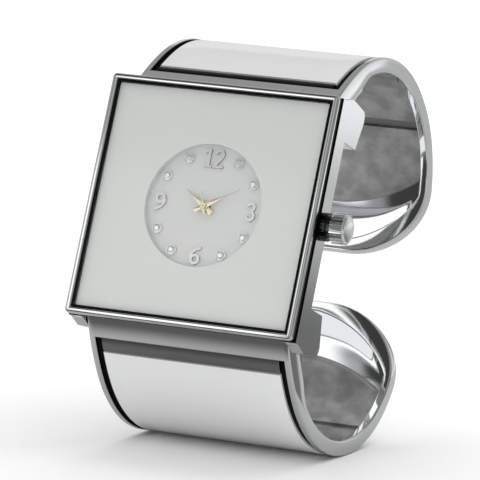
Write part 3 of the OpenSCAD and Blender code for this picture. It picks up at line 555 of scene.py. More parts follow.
# %% The shells
RECESS, SHEET, FLANGE, FLANGE_WIDTH = 0.7, 1.3, 2.4, 1.4
FLANGE_EXTRA, FLANGE_FULL, FLANGE_PLAIN = 1.2, math.radians(-43.0), math.radians(-28.0)
RIM, RIM_BREAK, EDGE_ROUND = 1.0, 0.08, 0.32
FRONT_ANGLE, BAR_ANGLE, LINING_ANGLE = np.radians([-54.0, -48.0, -38.5])
FRONT_STEPS, BAR_STEPS, SIDE_STEPS = 7, 9, 90
LIP_HEIGHT, LIP_RADIUS = TIP_HEIGHT + 1.4, 18.0
INNER_HALF = CUFF_HALF - FLANGE_WIDTH
corner_angle = angle_at(TIP_HEIGHT + TIP_RADIUS)
shell_angles = np.r_[
    np.linspace(FRONT_ANGLE, BAR_ANGLE, FRONT_STEPS),
    np.linspace(BAR_ANGLE, LINING_ANGLE, BAR_STEPS),
    np.linspace(LINING_ANGLE, corner_angle, SIDE_STEPS),
]


def past(switch_at, path_length):
    """True where a path is at least switch_at points away from both its ends."""
    place = np.arange(path_length)
    return np.minimum(place, path_length - 1 - place) >= switch_at


COVE_TILT, COVE_BEND, COVE_DEPTH, COVE_BLEND = math.radians(24.0), 0.055, 1.0, 0.12
COVE_FADE, COVE_DRAFT = 4.0, 0.03
COVE_SHARES = np.linspace(0.0, 1.5, 19)


def cove_start(x):
    """Slope of the hollow at the lip: the tangent of its tilt less the tilt
    that the back arc has at the lip's height."""
    x = np.minimum(np.abs(x), INNER_HALF)
    height = LIP_HEIGHT + LIP_RADIUS - np.sqrt(LIP_RADIUS**2 - x**2)
    return np.tan(COVE_TILT - np.arcsin((back_centre[1] - height) / BACK_RADIUS))


def cove_length(x):
    """Length in which a slope that grows by the bend reaches the cove's depth."""
    start = cove_start(x)
    return (np.sqrt(start**2 + 2.0 * COVE_BEND * COVE_DEPTH) - start) / COVE_BEND


def cove(x, share):
    """Depth of the hollow at a share of its length: the slope summed from there
    to its end, past which it is below zero. Half the sum of that and its root
    with the blend squared rounds the meeting with the bare sheet. A smoothstep
    fades it out at the sides."""
    length, start = cove_length(x), cove_start(x)
    left = start * length * (1.0 - share) + COVE_BEND / 2.0 * length**2 * (1.0 - share**2)
    left = (left + np.sqrt(left**2 + 4.0 * COVE_BLEND**2)) / 2.0
    end = INNER_HALF - 0.1
    return SHEET + left * smoothstep(np.abs(x), end, end - COVE_FADE)


def shell_rails():
    """Rails from the recess floor over the rim, the side, the flange and down
    into the channel. Round edges are quarter circles of EDGE_ROUND: in goes as
    1 - sine, down as 1 - cosine of the turn."""
    angles = tip_path(0.0, shell_angles)[1]
    count = len(angles)
    recess = RECESS * past(FRONT_STEPS, count)
    flange = FLANGE + FLANGE_EXTRA * smoothstep(angles, FLANGE_PLAIN, FLANGE_FULL)
    channel = np.where(past(FRONT_STEPS + BAR_STEPS, count), SHEET, flange)
    turns = np.linspace(0.0, np.pi / 2, 5)
    insets, drops = EDGE_ROUND * (1 - np.sin(turns)), EDGE_ROUND * (1 - np.cos(turns))
    recess_wall = ((RIM, recess), (RIM, recess * 0.12), (RIM - RIM_BREAK, 0.0 * recess))
    rails = [(*tip_path(inset, shell_angles), depth) for inset, depth in recess_wall]
    for inset, drop in zip(insets, drops):
        rails.append((*tip_path(inset, shell_angles), np.full(count, drop)))
    for inset, drop in zip(insets, drops):
        rails.append((*tip_path(drop, shell_angles), flange - inset))
    edge = (INNER_HALF + EDGE_ROUND, LIP_HEIGHT - EDGE_ROUND, LIP_RADIUS, shell_angles)
    outer_edge = np.array(arc_path(*edge))
    inner_edge = np.array(arc_path(INNER_HALF, LIP_HEIGHT, LIP_RADIUS, shell_angles))
    for share, drop in zip(np.sin(turns), drops):
        place = outer_edge + (inner_edge - outer_edge) * share
        rails.append((*place, np.maximum(flange - drop, channel)))
    for share in COVE_SHARES:
        line = (INNER_HALF - COVE_DRAFT * share, LIP_HEIGHT, LIP_RADIUS, shell_angles)
        x, angle = arc_path(*line, lift=lambda x: share * cove_length(x))
        rails.append((x, angle, np.maximum(channel, cove(x, share))))
    return rails


for prefix, side in (("upper", 1), ("lower", -1)):
    points, faces = slab(shell_rails(), side)
    grid_piece(f"{prefix}_bright_shell", points, faces, f"{prefix}_cuff", chrome, sharp=40.0)

# %% [markdown]
# Next to the case the shell ends in a hinge barrel, with solid metal between
# it and the sheet. It is a plain bar of one side view, so its outline is
# drawn once and carried straight along X, with the edges at its ends rounded.

# %% The hinge blocks
pin_low, pin_high = box_mm("upper_hinge_pin")
PIN = (pin_low[1:] + pin_high[1:]) / 2
BARREL_RADIUS = 2.1
WEB, WEB_BACK = np.array([3.4, 4.1]), 2.3
FRONT_WALL = 3.25
UNDER_FROM, UNDER_TO = -0.93, -0.72
UNDER_SHOULDER, UNDER_RECESS = 0.4, RECESS + 0.1
BLOCK_HALF, BLOCK_ROUND = CUFF_HALF - 0.05, 0.12


def block_outline():
    """Side view, in Y and Z: under the shoulder and lower under the recess, down
    to the barrel and round it."""
    along = np.linspace(UNDER_FROM, UNDER_TO, 12)
    depth = np.where(along < BAR_ANGLE - 0.01, UNDER_SHOULDER, UNDER_RECESS)
    under = shoulder_centre + (SHOULDER_RADIUS - depth)[:, None] * toward(along)
    turn = np.linspace(0.0, -np.pi, 24)
    barrel = PIN + BARREL_RADIUS * np.stack([np.cos(turn), np.sin(turn)], -1)
    front = np.array([[FRONT_WALL, PIN[1] + 0.02], [FRONT_WALL, under[0, 1] - 0.35]])
    back = np.array([PIN + WEB + WEB_BACK, PIN + WEB])
    return np.concatenate([under, back, barrel, front])


def prism(outline, half, soften):
    """The outline in Y and Z carried from -half to half along X; the last
    stretch at each end draws in by soften, which rounds the end edge."""
    middle = outline.mean(axis=0)
    places = [-half, -half + soften, half - soften, half]
    shrink = [soften, 0.0, 0.0, soften]
    direction = outline - middle
    direction /= np.linalg.norm(direction, axis=1)[:, None]
    count = len(outline)
    rings = [np.c_[np.full(count, x), outline - direction * s] for x, s in zip(places, shrink)]
    return np.concatenate(rings), tube_faces(len(places), count)


for prefix, side in (("upper", 1), ("lower", -1)):
    points, faces = prism(block_outline(), BLOCK_HALF, BLOCK_ROUND)
    points, body, shell = points * [1, 1, side], f"{prefix}_cuff", f"{prefix}_cuff_shell"
    grid_piece(f"{prefix}_hinge_block", points, faces, body, chrome, [shell], sharp=28.0)

# %% [markdown]
# The enamel panel lies in the shell's recess on a bed painted black, painted
# shade that shows as a fine line round it. A dark polished bar closes its case
# end: the upper cuff's bar is painted black, painted shade, and the lower
# one's grey, painted light, though both are one part; the lower bar is wider.
# They are thin slabs that follow the same surface, with rounded upper edges.

# %% Enamel panels, beds and bars
INLAY_GAP, BED = 1.0, 0.15
PANEL_TOP, PANEL_ROUND = 0.05, 0.15
BAR_TOP, BAR_BULGE = 0.04, 0.12
BED_TOP = RECESS - BED
BED_LIP = ((0.17, BED_TOP), (0.12, BED_TOP - 0.03), (0.09, 0.10), (0.02, 0.10))


def flat_rails(start, levels):
    """Rails from an angle to the tip: one at each inset from the rim and depth."""
    angles = np.linspace(start, corner_angle, 84)
    paths = [(*tip_path(RIM + inset, angles), depth) for inset, depth in levels]
    return [(x, angle, np.full(len(x), depth)) for x, angle, depth in paths]


def panel_levels():
    """The panel's upper edge rounded by a quarter circle, then its side wall."""
    turns = np.linspace(0.0, np.pi / 2, 4)
    insets = INLAY_GAP + PANEL_ROUND * (1 - np.sin(turns))
    depths = PANEL_TOP + PANEL_ROUND * (1 - np.cos(turns))
    return [*zip(insets, depths), (INLAY_GAP, BED_TOP)]


def curved_box(half, first, last, top, bottom, steps, side, bulge=0.0):
    """A slab between two angles and two depths, with straight sides: rings
    round its section, carried along the angle. A bulge lowers its upper face
    by that depth, times the square of the distance from its middle."""
    angle = np.linspace(first, last, steps)
    soft = min(0.1, (bottom - top) / 3)
    right_side = [(half - soft, top), (half, top + soft), (half, bottom)]
    section = np.array([(-x, depth) for x, depth in right_side[::-1]] + right_side)
    middle = np.linspace(-1.0, 1.0, steps)[:, None]
    depth = section[None, :, 1] + bulge * middle**2 * (section[None, :, 1] < bottom)
    points = on_cuff(section[None, :, 0], angle[:, None], depth, side)
    return points.reshape(-1, 3), tube_faces(steps, len(section))


# The upper bar takes painted shade and the lower one painted light.
for prefix, side, start, finish in (
    ("upper", 1, math.radians(-45.4), bar_painted_shade),
    ("lower", -1, math.radians(-44.1), dark_bar),
):
    body = f"{prefix}_cuff"
    panel = slab(flat_rails(start, panel_levels()), side)
    grid_piece(f"{prefix}_enamel", *panel, body, enamel, [f"{prefix}_inlay"])
    # The bed's black is painted shade in the gap round the panel.
    bed = slab(flat_rails(BAR_ANGLE + 0.004, [*BED_LIP, (0.02, RECESS - 0.01)]), side)
    grid_piece(f"{prefix}_bed", *bed, body, painted_shade_black, [f"{prefix}_inlay_bed"])
    reach = (CUFF_HALF - RIM - INLAY_GAP, BAR_ANGLE + 0.003, start - 0.008)
    bar = curved_box(*reach, BAR_TOP, RECESS - 0.02, 13, side, BAR_BULGE)
    grid_piece(f"{prefix}_dark_bar", *bar, body, finish, [f"{prefix}_end_bar"])

# %% [markdown]
# Inside, two plates of thin steel line the channel. A slot between them
# shows as a dark band in the upper half, where its floor takes painted shade,
# and as a fine line in the lower one, where its floor is as dull as the plates.
# The second plate stops short of the tip in a wide arc, and the bright sheet
# shows beyond it.

# %% Linings
LINING = 0.5
LINING_HEIGHT, LINING_RADIUS = 12.5, 27.0
SLOT_LOW, SLOT_HIGH = np.radians([35.9, 41.5])
LINING_HALF = INNER_HALF - 0.05
PLATE_EDGE = ((1.0, 0.0), (0.7, 0.03), (0.45, 0.09), (0.25, 0.18), (0.1, 0.3), (0.0, 0.45))
side_height = LINING_HEIGHT + LINING_RADIUS - math.sqrt(LINING_RADIUS**2 - LINING_HALF**2)
rear_angles = np.linspace(SLOT_HIGH, angle_at(side_height), 24)


def rear_rails():
    """The plate near the tip: its face, an edge rolled off toward the sheet."""
    rails = []
    for inset, drop in PLATE_EDGE:
        half, height = LINING_HALF - 0.1 * inset, LINING_HEIGHT + inset
        x, angle = arc_path(half, height, LINING_RADIUS, rear_angles)
        rails.append((x, angle, np.full(len(x), SHEET + LINING - drop)))
    return rails


for prefix, side, slot_shade_or_lining in (("upper", 1, slot_painted_shade), ("lower", -1, lining)):
    body = f"{prefix}_cuff"
    rear = slab(rear_rails(), side)
    grid_piece(f"{prefix}_rear_plate", *rear, body, lining, [f"{prefix}_rear_lining"])
    reach = (LINING_HALF, LINING_ANGLE + 0.008, SLOT_LOW)
    front = curved_box(*reach, SHEET + 0.01, SHEET + LINING, 60, side)
    grid_piece(f"{prefix}_front_plate", *front, body, lining, [f"{prefix}_front_lining"])
    reach = (LINING_HALF, SLOT_LOW, SLOT_HIGH)
    floor = curved_box(*reach, SHEET - 0.02, SHEET + 0.06, 8, side)
    # The upper slot's floor takes painted shade; the lower one takes the lining's finish.
    grid_piece(f"{prefix}_slot_floor", *floor, body, slot_shade_or_lining)

# %% [markdown]
# The bezel is a half-round frame, mitred at its corners. Its section is
# carried round a square path; each corner is a short arc, so that the mitre
# is soft as on the polished original.

# %% Bezel
bezel_low, bezel_high = box_mm("bezel")
BEZEL_WIDTH, BEZEL_RISE, BEZEL_CORNER = 1.05, 0.8, 0.7


def square_path(half_x, half_z, corner, steps=6):
    """A rectangle with quarter-circle corners, as X and as Z."""
    turn = np.concatenate([np.linspace(k, k + 1, steps) for k in range(4)]) * np.pi / 2
    sign_x = np.repeat([1, -1, -1, 1], steps)
    sign_z = np.repeat([1, 1, -1, -1], steps)
    x = sign_x * (half_x - corner) + corner * np.cos(turn)
    z = sign_z * (half_z - corner) + corner * np.sin(turn)
    return x, z


def half_round(width, crest, back):
    """Section of the frame: distance in from the edge and depth, along a
    flattened half circle from the outer back to the inner back."""
    turn = np.linspace(0.0, np.pi, 17)
    inset = width / 2 * (1 - np.cos(turn))
    depth = crest + BEZEL_RISE * (1 - np.sin(turn) ** 0.8)
    return np.r_[0.0, inset, width], np.r_[back, depth, back]


def framed(half_x, half_z, corner, inset, depth):
    """A section carried round the rectangle: each ring keeps one inset."""
    rings = []
    for gap, y in zip(inset, depth):
        x, z = square_path(half_x - gap, half_z - gap, max(corner - gap, 0.02))
        rings.append(ring_at(x, y, z))
    count = len(rings[0])
    faces = grid_quads(len(rings), count, round_rows=True, round_columns=True)
    return np.concatenate(rings), faces


section = half_round(BEZEL_WIDTH, bezel_low[1], bezel_high[1])
frame_shape = framed(bezel_high[0], bezel_high[2], BEZEL_CORNER, *section)
bezel = grid_piece("half_round_bezel", *frame_shape, "case", case_steel, ["bezel"], sharp=50.0)

# %% [markdown]
# The glass is a flat square plate with a fine chamfer. It stands a hair above
# the white panel: two faces in the same place would flicker.

# %% Glass
glass_low, glass_high = box_mm("crystal")


def flat_plate(half_x, half_z, corner, front, back, chamfer):
    """A plate square to Y: rings at the front, the chamfer's foot and the back."""
    rings = []
    for inset, y in ((chamfer, front), (0.0, front + chamfer), (0.0, back)):
        x, z = square_path(half_x - inset, half_z - inset, corner)
        rings.append(ring_at(x, y, z))
    return np.concatenate(rings), tube_faces(len(rings), len(rings[0]))


GLASS_CORNER, GLASS_GAP, GLASS_CHAMFER = 0.3, 0.02, 0.1
glass_back = glass_high[1] - GLASS_GAP
plate = flat_plate(*glass_high[::2], GLASS_CORNER, glass_low[1], glass_back, GLASS_CHAMFER)
grid_piece("flat_glass", *plate, "case", glass, ["crystal"])

# %% [markdown]
# The case side, the lugs, the back and the plates are flat or turned parts.
# Their CAD solids are right, and only their edges are too crisp. A copy of
# the mesh is merged, its flat triangles are joined, and a Bevel modifier
# breaks the edges as a polishing wheel does.


# %% Parts with broken edges
def softened(node, width, finish, segments=2, angle=30.0):
    """A merged copy of a CAD node with its edges bevelled by width."""
    body = frame["nodes"][node]["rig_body"]
    mesh = frame["nodes"][node].data.copy()
    mesh.name = f"{node}_soft"
    shape = bmesh.new()
    shape.from_mesh(mesh)
    bmesh.ops.remove_doubles(shape, verts=shape.verts, dist=5e-7)
    flat = math.radians(0.5)
    bmesh.ops.dissolve_limit(shape, angle_limit=flat, verts=shape.verts, edges=shape.edges)
    bmesh.ops.recalc_face_normals(shape, faces=shape.faces)
    shape.to_mesh(mesh)
    shape.free()
    mesh.shade_smooth()
    mesh.set_sharp_from_angle(angle=math.radians(angle))
    piece = add_piece(mesh.name, mesh, body, finish, [node])
    bevel = piece.modifiers.new("Broken edges", "BEVEL")
    bevel.width = width * MM
    bevel.segments = segments
    bevel.limit_method = "ANGLE"
    bevel.angle_limit = math.radians(angle)
    bevel.harden_normals = True
    return piece


case_middle = softened("case_middle", 0.12, case_steel)
softened("case_back", 0.08, brushed)
softened("case_back_screws", 0.05, bright_steel)
crown = softened("crown", 0.04, chrome, angle=20.0)
numerals = softened("dial_numerals", 0.06, satin_silver)
softened("main_plate", 0.04, grained)
softened("train_bridge", 0.04, grained)

# %% [markdown]
# Some parts show two surfaces. The groove between bezel and case is
# painted black, painted shade; the crown's neck is painted dark, painted
# shade, and its cap is satin; and the raised numerals take a darker steel on
# their sides, painted shade. One mesh takes both: the place or the direction
# of a face chooses its finish.

# %% Second finishes
GRIP_START, CAP_START, PAST_CROWN = 20.8, 23.0, 24.0
GROOVE_END, BEZEL_FOOT = 2.01, 0.55
STEEP = 0.5


def second_finish(piece, finish, kind, axis, low, high):
    """Gives another finish to the faces whose middle, in millimetres, or whose
    normal lies between low and high on one axis."""
    piece.data.materials.append(finish)
    values = np.empty(3 * len(piece.data.polygons))
    piece.data.polygons.foreach_get(kind, values)
    values = values.reshape(-1, 3)[:, axis] / (MM if kind == "center" else 1.0)
    chosen = (values > low) & (values < high)
    index = np.empty(len(chosen), dtype=np.int32)
    piece.data.polygons.foreach_get("material_index", index)
    index[chosen] = len(piece.data.materials) - 1
    piece.data.polygons.foreach_set("material_index", index)
    print(piece.name, "faces in the second finish:", chosen.sum())


# Painted shade: the crown's neck takes the dark steel.
second_finish(crown, dark_painted_shade, "center", 0, 0.0, GRIP_START)
second_finish(crown, satin_cap, "center", 0, CAP_START, PAST_CROWN)
# Painted shade: the steel faces in the groove under the bezel take black.
second_finish(case_middle, painted_shade_black, "center", 1, 0.0, GROOVE_END)
second_finish(bezel, painted_shade_black, "center", 1, BEZEL_FOOT, GROOVE_END)
# Painted shade: the numerals' steep side faces take the darker steel.
second_finish(numerals, side_painted_shade, "normal", 1, -STEEP, STEEP)

# %% [markdown]
# Hands of this kind are pressed from thin strip with a ridge along the
# middle, so the two halves catch different light. Each is a small grid: the
# outline's half width along the hand, and the ridge's height across it. Each
# has its own hub, and a dark pin ends the stack: its dark steel is painted
# shade of the hole in the hub.

# %% Hands
HUB_STEPS, HUB_TOP = 28, -0.06
TIP_HALF, BLADE_END = 0.045, 0.02
TAIL_SHARE, TAIL_FLARE = 0.6, 0.12
PIN_RADIUS, PIN_RISE = 0.13, 0.08


def leaf(length, reach, power, tail, width, thick=0.1, ridge=0.06, steps=30):
    """A blade along +Z. Half width falls from the hub as a power of the
    distance, is a fine line past its reach, and widens along the tail."""
    along = np.linspace(-tail, length, steps)
    out = np.where(
        along >= 0,
        width * np.clip(1 - along / reach, 0, 1) ** power + TIP_HALF,
        TAIL_SHARE * width + TAIL_FLARE * np.clip(-along / tail, 0, 1),
    )
    out[-1] = BLADE_END
    across = np.array([-1.0, 0.0, 1.0, 0.6, -0.6])
    height = np.array([0.0, -ridge, 0.0, thick, thick])
    x = out[:, None] * across
    y = np.broadcast_to(height, x.shape)
    z = np.broadcast_to(along[:, None], x.shape)
    points = np.stack([x, y, z], -1).reshape(-1, 3)
    return points, tube_faces(steps, len(across))


def disc_ring(radius, top, bottom, start):
    """A small drum round the Y axis with a softened front edge."""
    turn = np.linspace(0, 2 * np.pi, HUB_STEPS, endpoint=False)
    x, z = radius * np.cos(turn), radius * np.sin(turn)
    levels = ((0.0, top), (0.85, top), (1.0, top + 0.05), (1.0, bottom), (0.0, bottom))
    rings = [ring_at(x * share, y, z * share) for share, y in levels]
    return np.concatenate(rings), grid_quads(len(rings), HUB_STEPS, start, round_columns=True)


def hand_piece(node, degrees, blade, hub_radius, finish):
    """A blade and its hub, turned clockwise by degrees and set on its CAD node."""
    low, high = box_mm(node)
    points, faces = leaf(**blade)
    hub_points, hub_faces = disc_ring(hub_radius, HUB_TOP, high[1] - low[1], len(points))
    points = np.concatenate([points, hub_points])
    turn = math.radians(degrees)
    x = points[:, 0] * math.cos(turn) + points[:, 2] * math.sin(turn)
    z = -points[:, 0] * math.sin(turn) + points[:, 2] * math.cos(turn)
    placed = np.stack([x, points[:, 1] + low[1], z], -1)
    body = frame["nodes"][node]["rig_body"]
    return grid_piece(f"{node}_leaf", placed, faces + hub_faces, body, finish, [node], sharp=20.0)


hour_blade = dict(length=4.2, reach=4.2, power=1.6, tail=1.7, width=0.55)
minute_blade = dict(length=6.3, reach=3.9, power=0.9, tail=1.7, width=0.42)
second_blade = dict(length=2.3, reach=2.3, power=1.0, tail=1.3, width=0.08, ridge=0.02)
hand_piece("hour_hand", 305.0, hour_blade, 0.78, champagne)
hand_piece("minute_hand", 60.0, minute_blade, 0.64, rose)
hand_piece("seconds_hand", 342.0, second_blade, 0.42, champagne)
seconds_top = box_mm("seconds_hand")[0][1]
# The pin's dark steel is painted shade of the hole in the hub.
pin = disc_ring(PIN_RADIUS, seconds_top - PIN_RISE, seconds_top, 0)
grid_piece("hand_pin", *pin, frame["nodes"]["seconds_hand"]["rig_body"], dark_painted_shade)

# %% [markdown]
# The hours between the numerals are marked by round brilliants. A brilliant
# is a table, a ring of slanted facets and a girdle; sixteen facets are
# enough at this size, and flat shading makes them sparkle.

# %% Stones
STONE_HOURS = (1, 2, 4, 5, 7, 8, 10, 11)
STONE_STEPS = 8
stone_low, stone_high = box_mm("dial_stones")
STONE_RADIUS = 0.62
STONE_RING = (stone_high[2] - STONE_RADIUS) / math.cos(math.radians(30))
STONE_LEVELS = (
    (0.0, 0.0),
    (0.52, 0.0),
    (0.8, 0.12),
    (1.0, 0.2),
    (1.0, 0.27),
    (0.3, 0.46),
    (0.0, 0.46),
)


def brilliant(x, z):
    """Table, kite ring, girdle and pavilion rings of a cut stone. Every other
    ring is turned by half a facet."""
    points = []
    for index, (share, depth) in enumerate(STONE_LEVELS):
        turn = (np.arange(STONE_STEPS) + 0.5 * (index % 2)) * 2 * np.pi / STONE_STEPS
        radius = STONE_RADIUS * share
        ring = (x + radius * np.cos(turn), stone_low[1] + depth, z + radius * np.sin(turn))
        points.append(ring_at(*ring))
    return np.concatenate(points)


stone_points, stone_faces = [], []
for hour in STONE_HOURS:
    angle = math.radians(30 * hour)
    start = sum(map(len, stone_points))
    for a, b, c, d in grid_quads(len(STONE_LEVELS), STONE_STEPS, start, round_columns=True):
        stone_faces += [[a, b, c], [a, c, d]]
    stone_points.append(brilliant(STONE_RING * math.sin(angle), STONE_RING * math.cos(angle)))
stone_shape = (np.concatenate(stone_points), stone_faces)
grid_piece("cut_stones", *stone_shape, "case", stone, ["dial_stones"], sharp=4.0)

# %% [markdown]
# What is left keeps its CAD shape and only takes a finish. Each node is
# named once, with the finish that its real material has.

# %% Finishes of the plain CAD parts
plain_parts = {
    rubber: ["crystal_gasket", "case_back_gasket", "crown_gasket"],
    under_glass: ["dial_mask"],
    pearl: ["dial"],
    satin_silver: ["stone_cups"],
    bright_steel: ["bridge_screws", "crown_tube", "winding_stem", "stem_detent"]
    + ["upper_hinge_pin", "lower_hinge_pin", "upper_hinge_spring", "lower_hinge_spring"],
    holder_plastic: ["movement_holder"],
    cell_steel: ["battery", "quartz_can"],
    brass: ["battery_clamp", "seconds_wheel", "cannon_pinion", "hour_wheel", "minute_wheel"]
    + ["centre_wheel", "third_wheel", "fifth_wheel"],
    board: ["circuit_board"],
    copper: ["coil"],
    iron: ["stator", "rotor"],
}
for finish, names in plain_parts.items():
    for name in names:
        mesh = frame["nodes"][name].data
        mesh.materials.clear()
        mesh.materials.append(finish)
print("plain parts:", sum(map(len, plain_parts.values())))

# %% [markdown]
# The photograph is a studio shot on white. The watch leans back on its lower
# half cuff, so the table is tilted in the watch's own frame and touches the
# cuff where its side points straight down. The table's tone depends on who
# looks: white for the camera, and for mirrors darker near the watch, painted
# shade. Far away it glows a little, so that it runs into the white behind it.

# %% Table
LEAN = math.radians(20.0)
TABLE_HALF, TABLE_GAP = 3.0, 0.0001
BLACK, WHITE, GLOW = (0.0, 0.0, 0.0), (1.12, 1.12, 1.12), (0.24, 0.24, 0.24)
SEEN_TONE, NEAR_MIRROR_SHADE = 0.95, 0.50
FAR_START, FAR_END = 0.30, 0.46
table_up = np.array([0.0, -math.sin(LEAN), math.cos(LEAN)])
table_slope = np.array([0.0, math.cos(LEAN), math.sin(LEAN)])
touch = np.array([crest_centre[0], -crest_centre[1]]) - CREST_RADIUS * table_up[1:]


def stage_sheet(name, made, corner, across, along):
    """A flat sheet of a material from a corner and two sides in metres."""
    corners = [corner, corner + across, corner + across + along, corner + along]
    mesh = bpy.data.meshes.new(name)
    mesh.from_pydata([point.tolist() for point in corners], [], [(0, 1, 2, 3)])
    mesh.materials.append(made)
    sheet = bpy.data.objects.new(name, mesh)
    bpy.context.scene.collection.objects.link(sheet)
    return sheet


def table_material():
    """White with its tones for each kind of ray and painted shade for mirrors near the watch. From
    below it is see-through.
    """
    made = bpy.data.materials.new("Pale_table")
    graph = Graph(made)
    seen, mirrored = graph.ray("Camera"), graph.ray("Glossy")
    back_distance = graph.node("ShaderNodeSeparateXYZ", values={0: graph.place()}, output="Y")
    # Painted shade: mirrors see the table darker near the watch, up to FAR_START behind it.
    mirror_shade = graph.smooth(back_distance, FAR_START, FAR_END) * (1.0 - NEAR_MIRROR_SHADE) + NEAR_MIRROR_SHADE
    tone = seen * SEEN_TONE + mirrored * mirror_shade + (1.0 - seen - mirrored)
    pale = graph.node("ShaderNodeBsdfDiffuse", values={"Color": graph.blend(tone, BLACK, WHITE)})
    away = graph.smooth(graph.measure("LENGTH", graph.place()), FAR_START, FAR_END)
    glow = graph.node("ShaderNodeEmission", values={"Color": graph.blend(seen * away, BLACK, GLOW)})
    lit = graph.node("ShaderNodeAddShader", values={0: pale, 1: glow})
    clear = graph.node("ShaderNodeBsdfTransparent")
    graph.end(graph.mix(seen * graph.backface(), lit, clear))
    return made


table_sides = (np.array([2.0 * TABLE_HALF, 0.0, 0.0]), table_slope * 2.0 * TABLE_HALF)
table_corner = np.array([0.0, *touch]) * MM - table_up * TABLE_GAP - sum(table_sides) / 2
table = stage_sheet("Table", table_material(), table_corner, *table_sides)
print("table touches at", touch.round(2))

# %% [markdown]
# Chrome shows what stands round it, and here that is a studio of its own: grey
# walls with soft round patches of light or shade. Each is the dot product of
# its direction and the ray's, mapped from its rim to its middle. Patches are
# added to the walls, and only mirrored rays see them.

# %% Studio
PATCHES = (
    ((-0.80, -0.58, -0.05), 0.92, 0.97, 0.60),
    ((0.55, -0.82, 0.17), 0.88, 0.97, 0.30),
    ((-0.88, 0.42, 0.17), 0.86, 0.96, 0.60),
    ((-0.45, 0.78, 0.43), 0.93, 0.97, 0.60),
    ((0.39, 0.74, 0.55), 0.895, 0.945, 0.48),
    ((-0.42, 0.11, 0.90), 0.75, 0.95, 0.12),
    ((-0.42, -0.60, 0.68), 0.85, 0.96, -0.24),
)
WALL_TONE, AMBIENT = 0.30, 0.94


def add_studio():
    """White for the camera, an even pale light, and the patches for mirrors."""
    world = bpy.data.worlds.new("Studio")
    bpy.context.scene.world = world
    graph = Graph(world)
    ray = graph.node("ShaderNodeTexCoord")
    tone = WALL_TONE
    for direction, rim, middle, gain in PATCHES:
        facing = graph.measure("DOT_PRODUCT", ray, Vector(direction).normalized())
        tone = graph.smooth(facing, rim, middle) * gain + tone
    mirrored = graph.node("ShaderNodeBackground", values={"Strength": tone})
    even = graph.node("ShaderNodeBackground", values={"Strength": AMBIENT})
    white = graph.node("ShaderNodeBackground", values={"Color": (1, 1, 1, 1), "Strength": 1.0})
    lit = graph.mix(graph.ray("Glossy"), even, mirrored)
    graph.end(graph.mix(graph.ray("Camera"), lit, white), "World")


def soft_lamp(name, place, size, power):
    """A square area lamp at a place in metres, facing the watch."""
    data = bpy.data.lights.new(name, "AREA")
    data.size, data.energy = size, power
    lamp = bpy.data.objects.new(name, data)
    lamp.location = place
    lamp.rotation_euler = (Vector((0, 0.02, 0)) - Vector(place)).to_track_quat("-Z", "Y").to_euler()
    lamp.visible_camera = False
    lamp.visible_glossy = False
    bpy.context.scene.collection.objects.link(lamp)


add_studio()
soft_lamp("Top_lamp", (0.05, 0.00, 0.60), 0.8, 1.5)
soft_lamp("Front_lamp", (-0.10, -0.70, -0.20), 0.5, 0.7)
print("lamps:", len(bpy.data.lights))

# %% [markdown]
# Cards stand close to the watch: glowing sheets that are painted reflections
# of light and shade. A white one in front is mirrored by the lower edge of the
# bezel. A black one lies on the table before it, painted shade of the table
# under the watch. A dark and a grey one stand behind it to the right, for the
# sides of the half cuffs. Inside the bangle three white cards paint highlights
# into the hollows at the tips and two dark ones paint shade on their ends.
# They show in mirrors alone, and only from their front.


# %% Cards
def card_material(name, corner, sides, tone, fades):
    """Light of one tone on the front, for a painted reflection. The cover is a
    product of smoothsteps from each edge inward, over the distance in fades,
    along each side."""
    made = bpy.data.materials.new(name)
    graph = Graph(made)
    place = graph.place()
    cover = 1.0 - graph.backface()
    for side, fade in zip(sides, fades):
        length = np.linalg.norm(side)
        unit = side / length
        way = graph.measure("DOT_PRODUCT", place, unit.tolist())
        first, last = corner @ unit, corner @ unit + length
        cover = cover * graph.smooth(way, first, first + fade * MM)
        cover = cover * graph.smooth(way, last, last - fade * MM)
    glow = graph.node("ShaderNodeEmission", values={"Color": (tone, tone, tone, 1.0)})
    graph.end(graph.mix(cover, graph.node("ShaderNodeBsdfTransparent"), glow))
    return made


def add_card(name, corner, across, along, tone, fades):
    """A flat card from a corner and two sides in millimetres, its front toward
    across x along."""
    corner, across, along = (np.array(v) * MM for v in (corner, across, along))
    made = card_material(name, corner, (across, along), tone, fades)
    card = stage_sheet(name, made, corner, across, along)
    card.visible_camera = card.visible_diffuse = card.visible_shadow = False
    card.visible_transmission = False


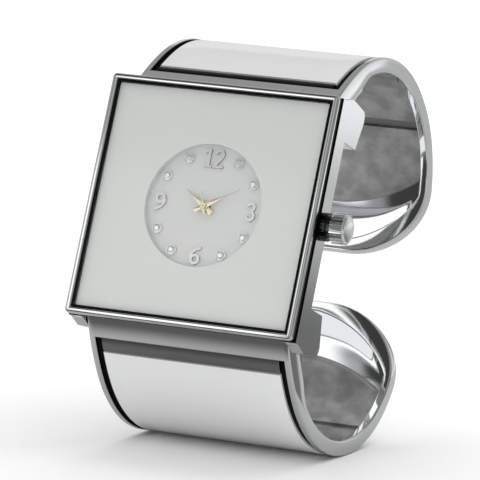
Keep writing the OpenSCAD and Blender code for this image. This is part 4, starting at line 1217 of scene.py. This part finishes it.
front_edge = np.array([-160.0, *touch]) - table_slope * 150.0 + table_up * 0.5
# The black, hinge and wrist cards paint shade, and the inner, upper and lower ones paint
# highlights, all seen in mirrors alone.
CARDS = (
    ("Black_painted_shade_card", front_edge, (260.0, 0, 0), table_slope * 114.5, 0.11, (10.0, 8.5)),
    ("Dark_card", (35.0, 66.5, -50.0), (60.0, -26.7, 0), (0, 0, 65.0), 0.17, (6.0, 22.0)),
    ("White_card", (-46.0, -40.0, -70.0), (0, 0, 88.0), (50.0, 0, 0), 1.35, (8.0, 8.0)),
    ("Inner_painted_highlight_card", (-42.0, 14.0, -27.0), (0, 0, 42.0), (36.0, 0, 0), 1.25, (4.0, 4.0)),
    ("Upper_painted_highlight_card", (-30.0, 44.0, 21.0), (42.0, 0, 0), (0, -14.0, 0), 1.25, (3.0, 1.0)),
    ("Lower_painted_highlight_card", (-30.0, 17.0, -25.5), (42.0, 0, 0), (0, 16.0, 0), 1.0, (3.0, 2.0)),
    ("Hinge_painted_shade_card", (-40.0, 13.5, -29.0), (0, 0, 12.0), (64.0, 0, 0), 0.12, (1.0, 2.0)),
    ("Wrist_painted_shade_card", (-5.0, 14.5, -17.0), (0, 0, 36.0), (23.0, 0, 0), 0.05, (1.0, 2.0)),
    ("Rim_card", (19.0, 66.0, 2.0), (20.0, 0, 0), (0, 0, 48.0), 0.50, (3.0, 8.0)),
)
for card in CARDS:
    add_card(*card)
print("cards:", len(CARDS))

# %% [markdown]
# The camera was solved from the square bezel, the glass and the dial: a long
# lens from the crown side, a little below the watch and slightly rolled.

# %% Camera
CAMERA_PLACE = Vector((292.5, -616.7, -125.4)) * MM
CAMERA_FORWARD = Vector((-0.4129, 0.8938, 0.1748)).normalized()
CAMERA_UP = Vector((-0.1074, -0.2384, 0.9652))
LENS = 344.9
right = CAMERA_FORWARD.cross(CAMERA_UP).normalized()
upright = right.cross(CAMERA_FORWARD)
turned = Matrix((right, upright, -CAMERA_FORWARD)).transposed().to_4x4()
camera_data = bpy.data.cameras.new("Camera")
camera_data.lens = LENS
camera_data.sensor_width = 36.0
camera_data.clip_start, camera_data.clip_end = 0.01, 10.0
camera = bpy.data.objects.new("Camera", camera_data)
camera.matrix_world = Matrix.Translation(CAMERA_PLACE) @ turned
bpy.context.scene.collection.objects.link(camera)
bpy.context.scene.camera = camera
bpy.context.scene.view_settings.view_transform = "Standard"
print("camera at", [round(v, 4) for v in CAMERA_PLACE])
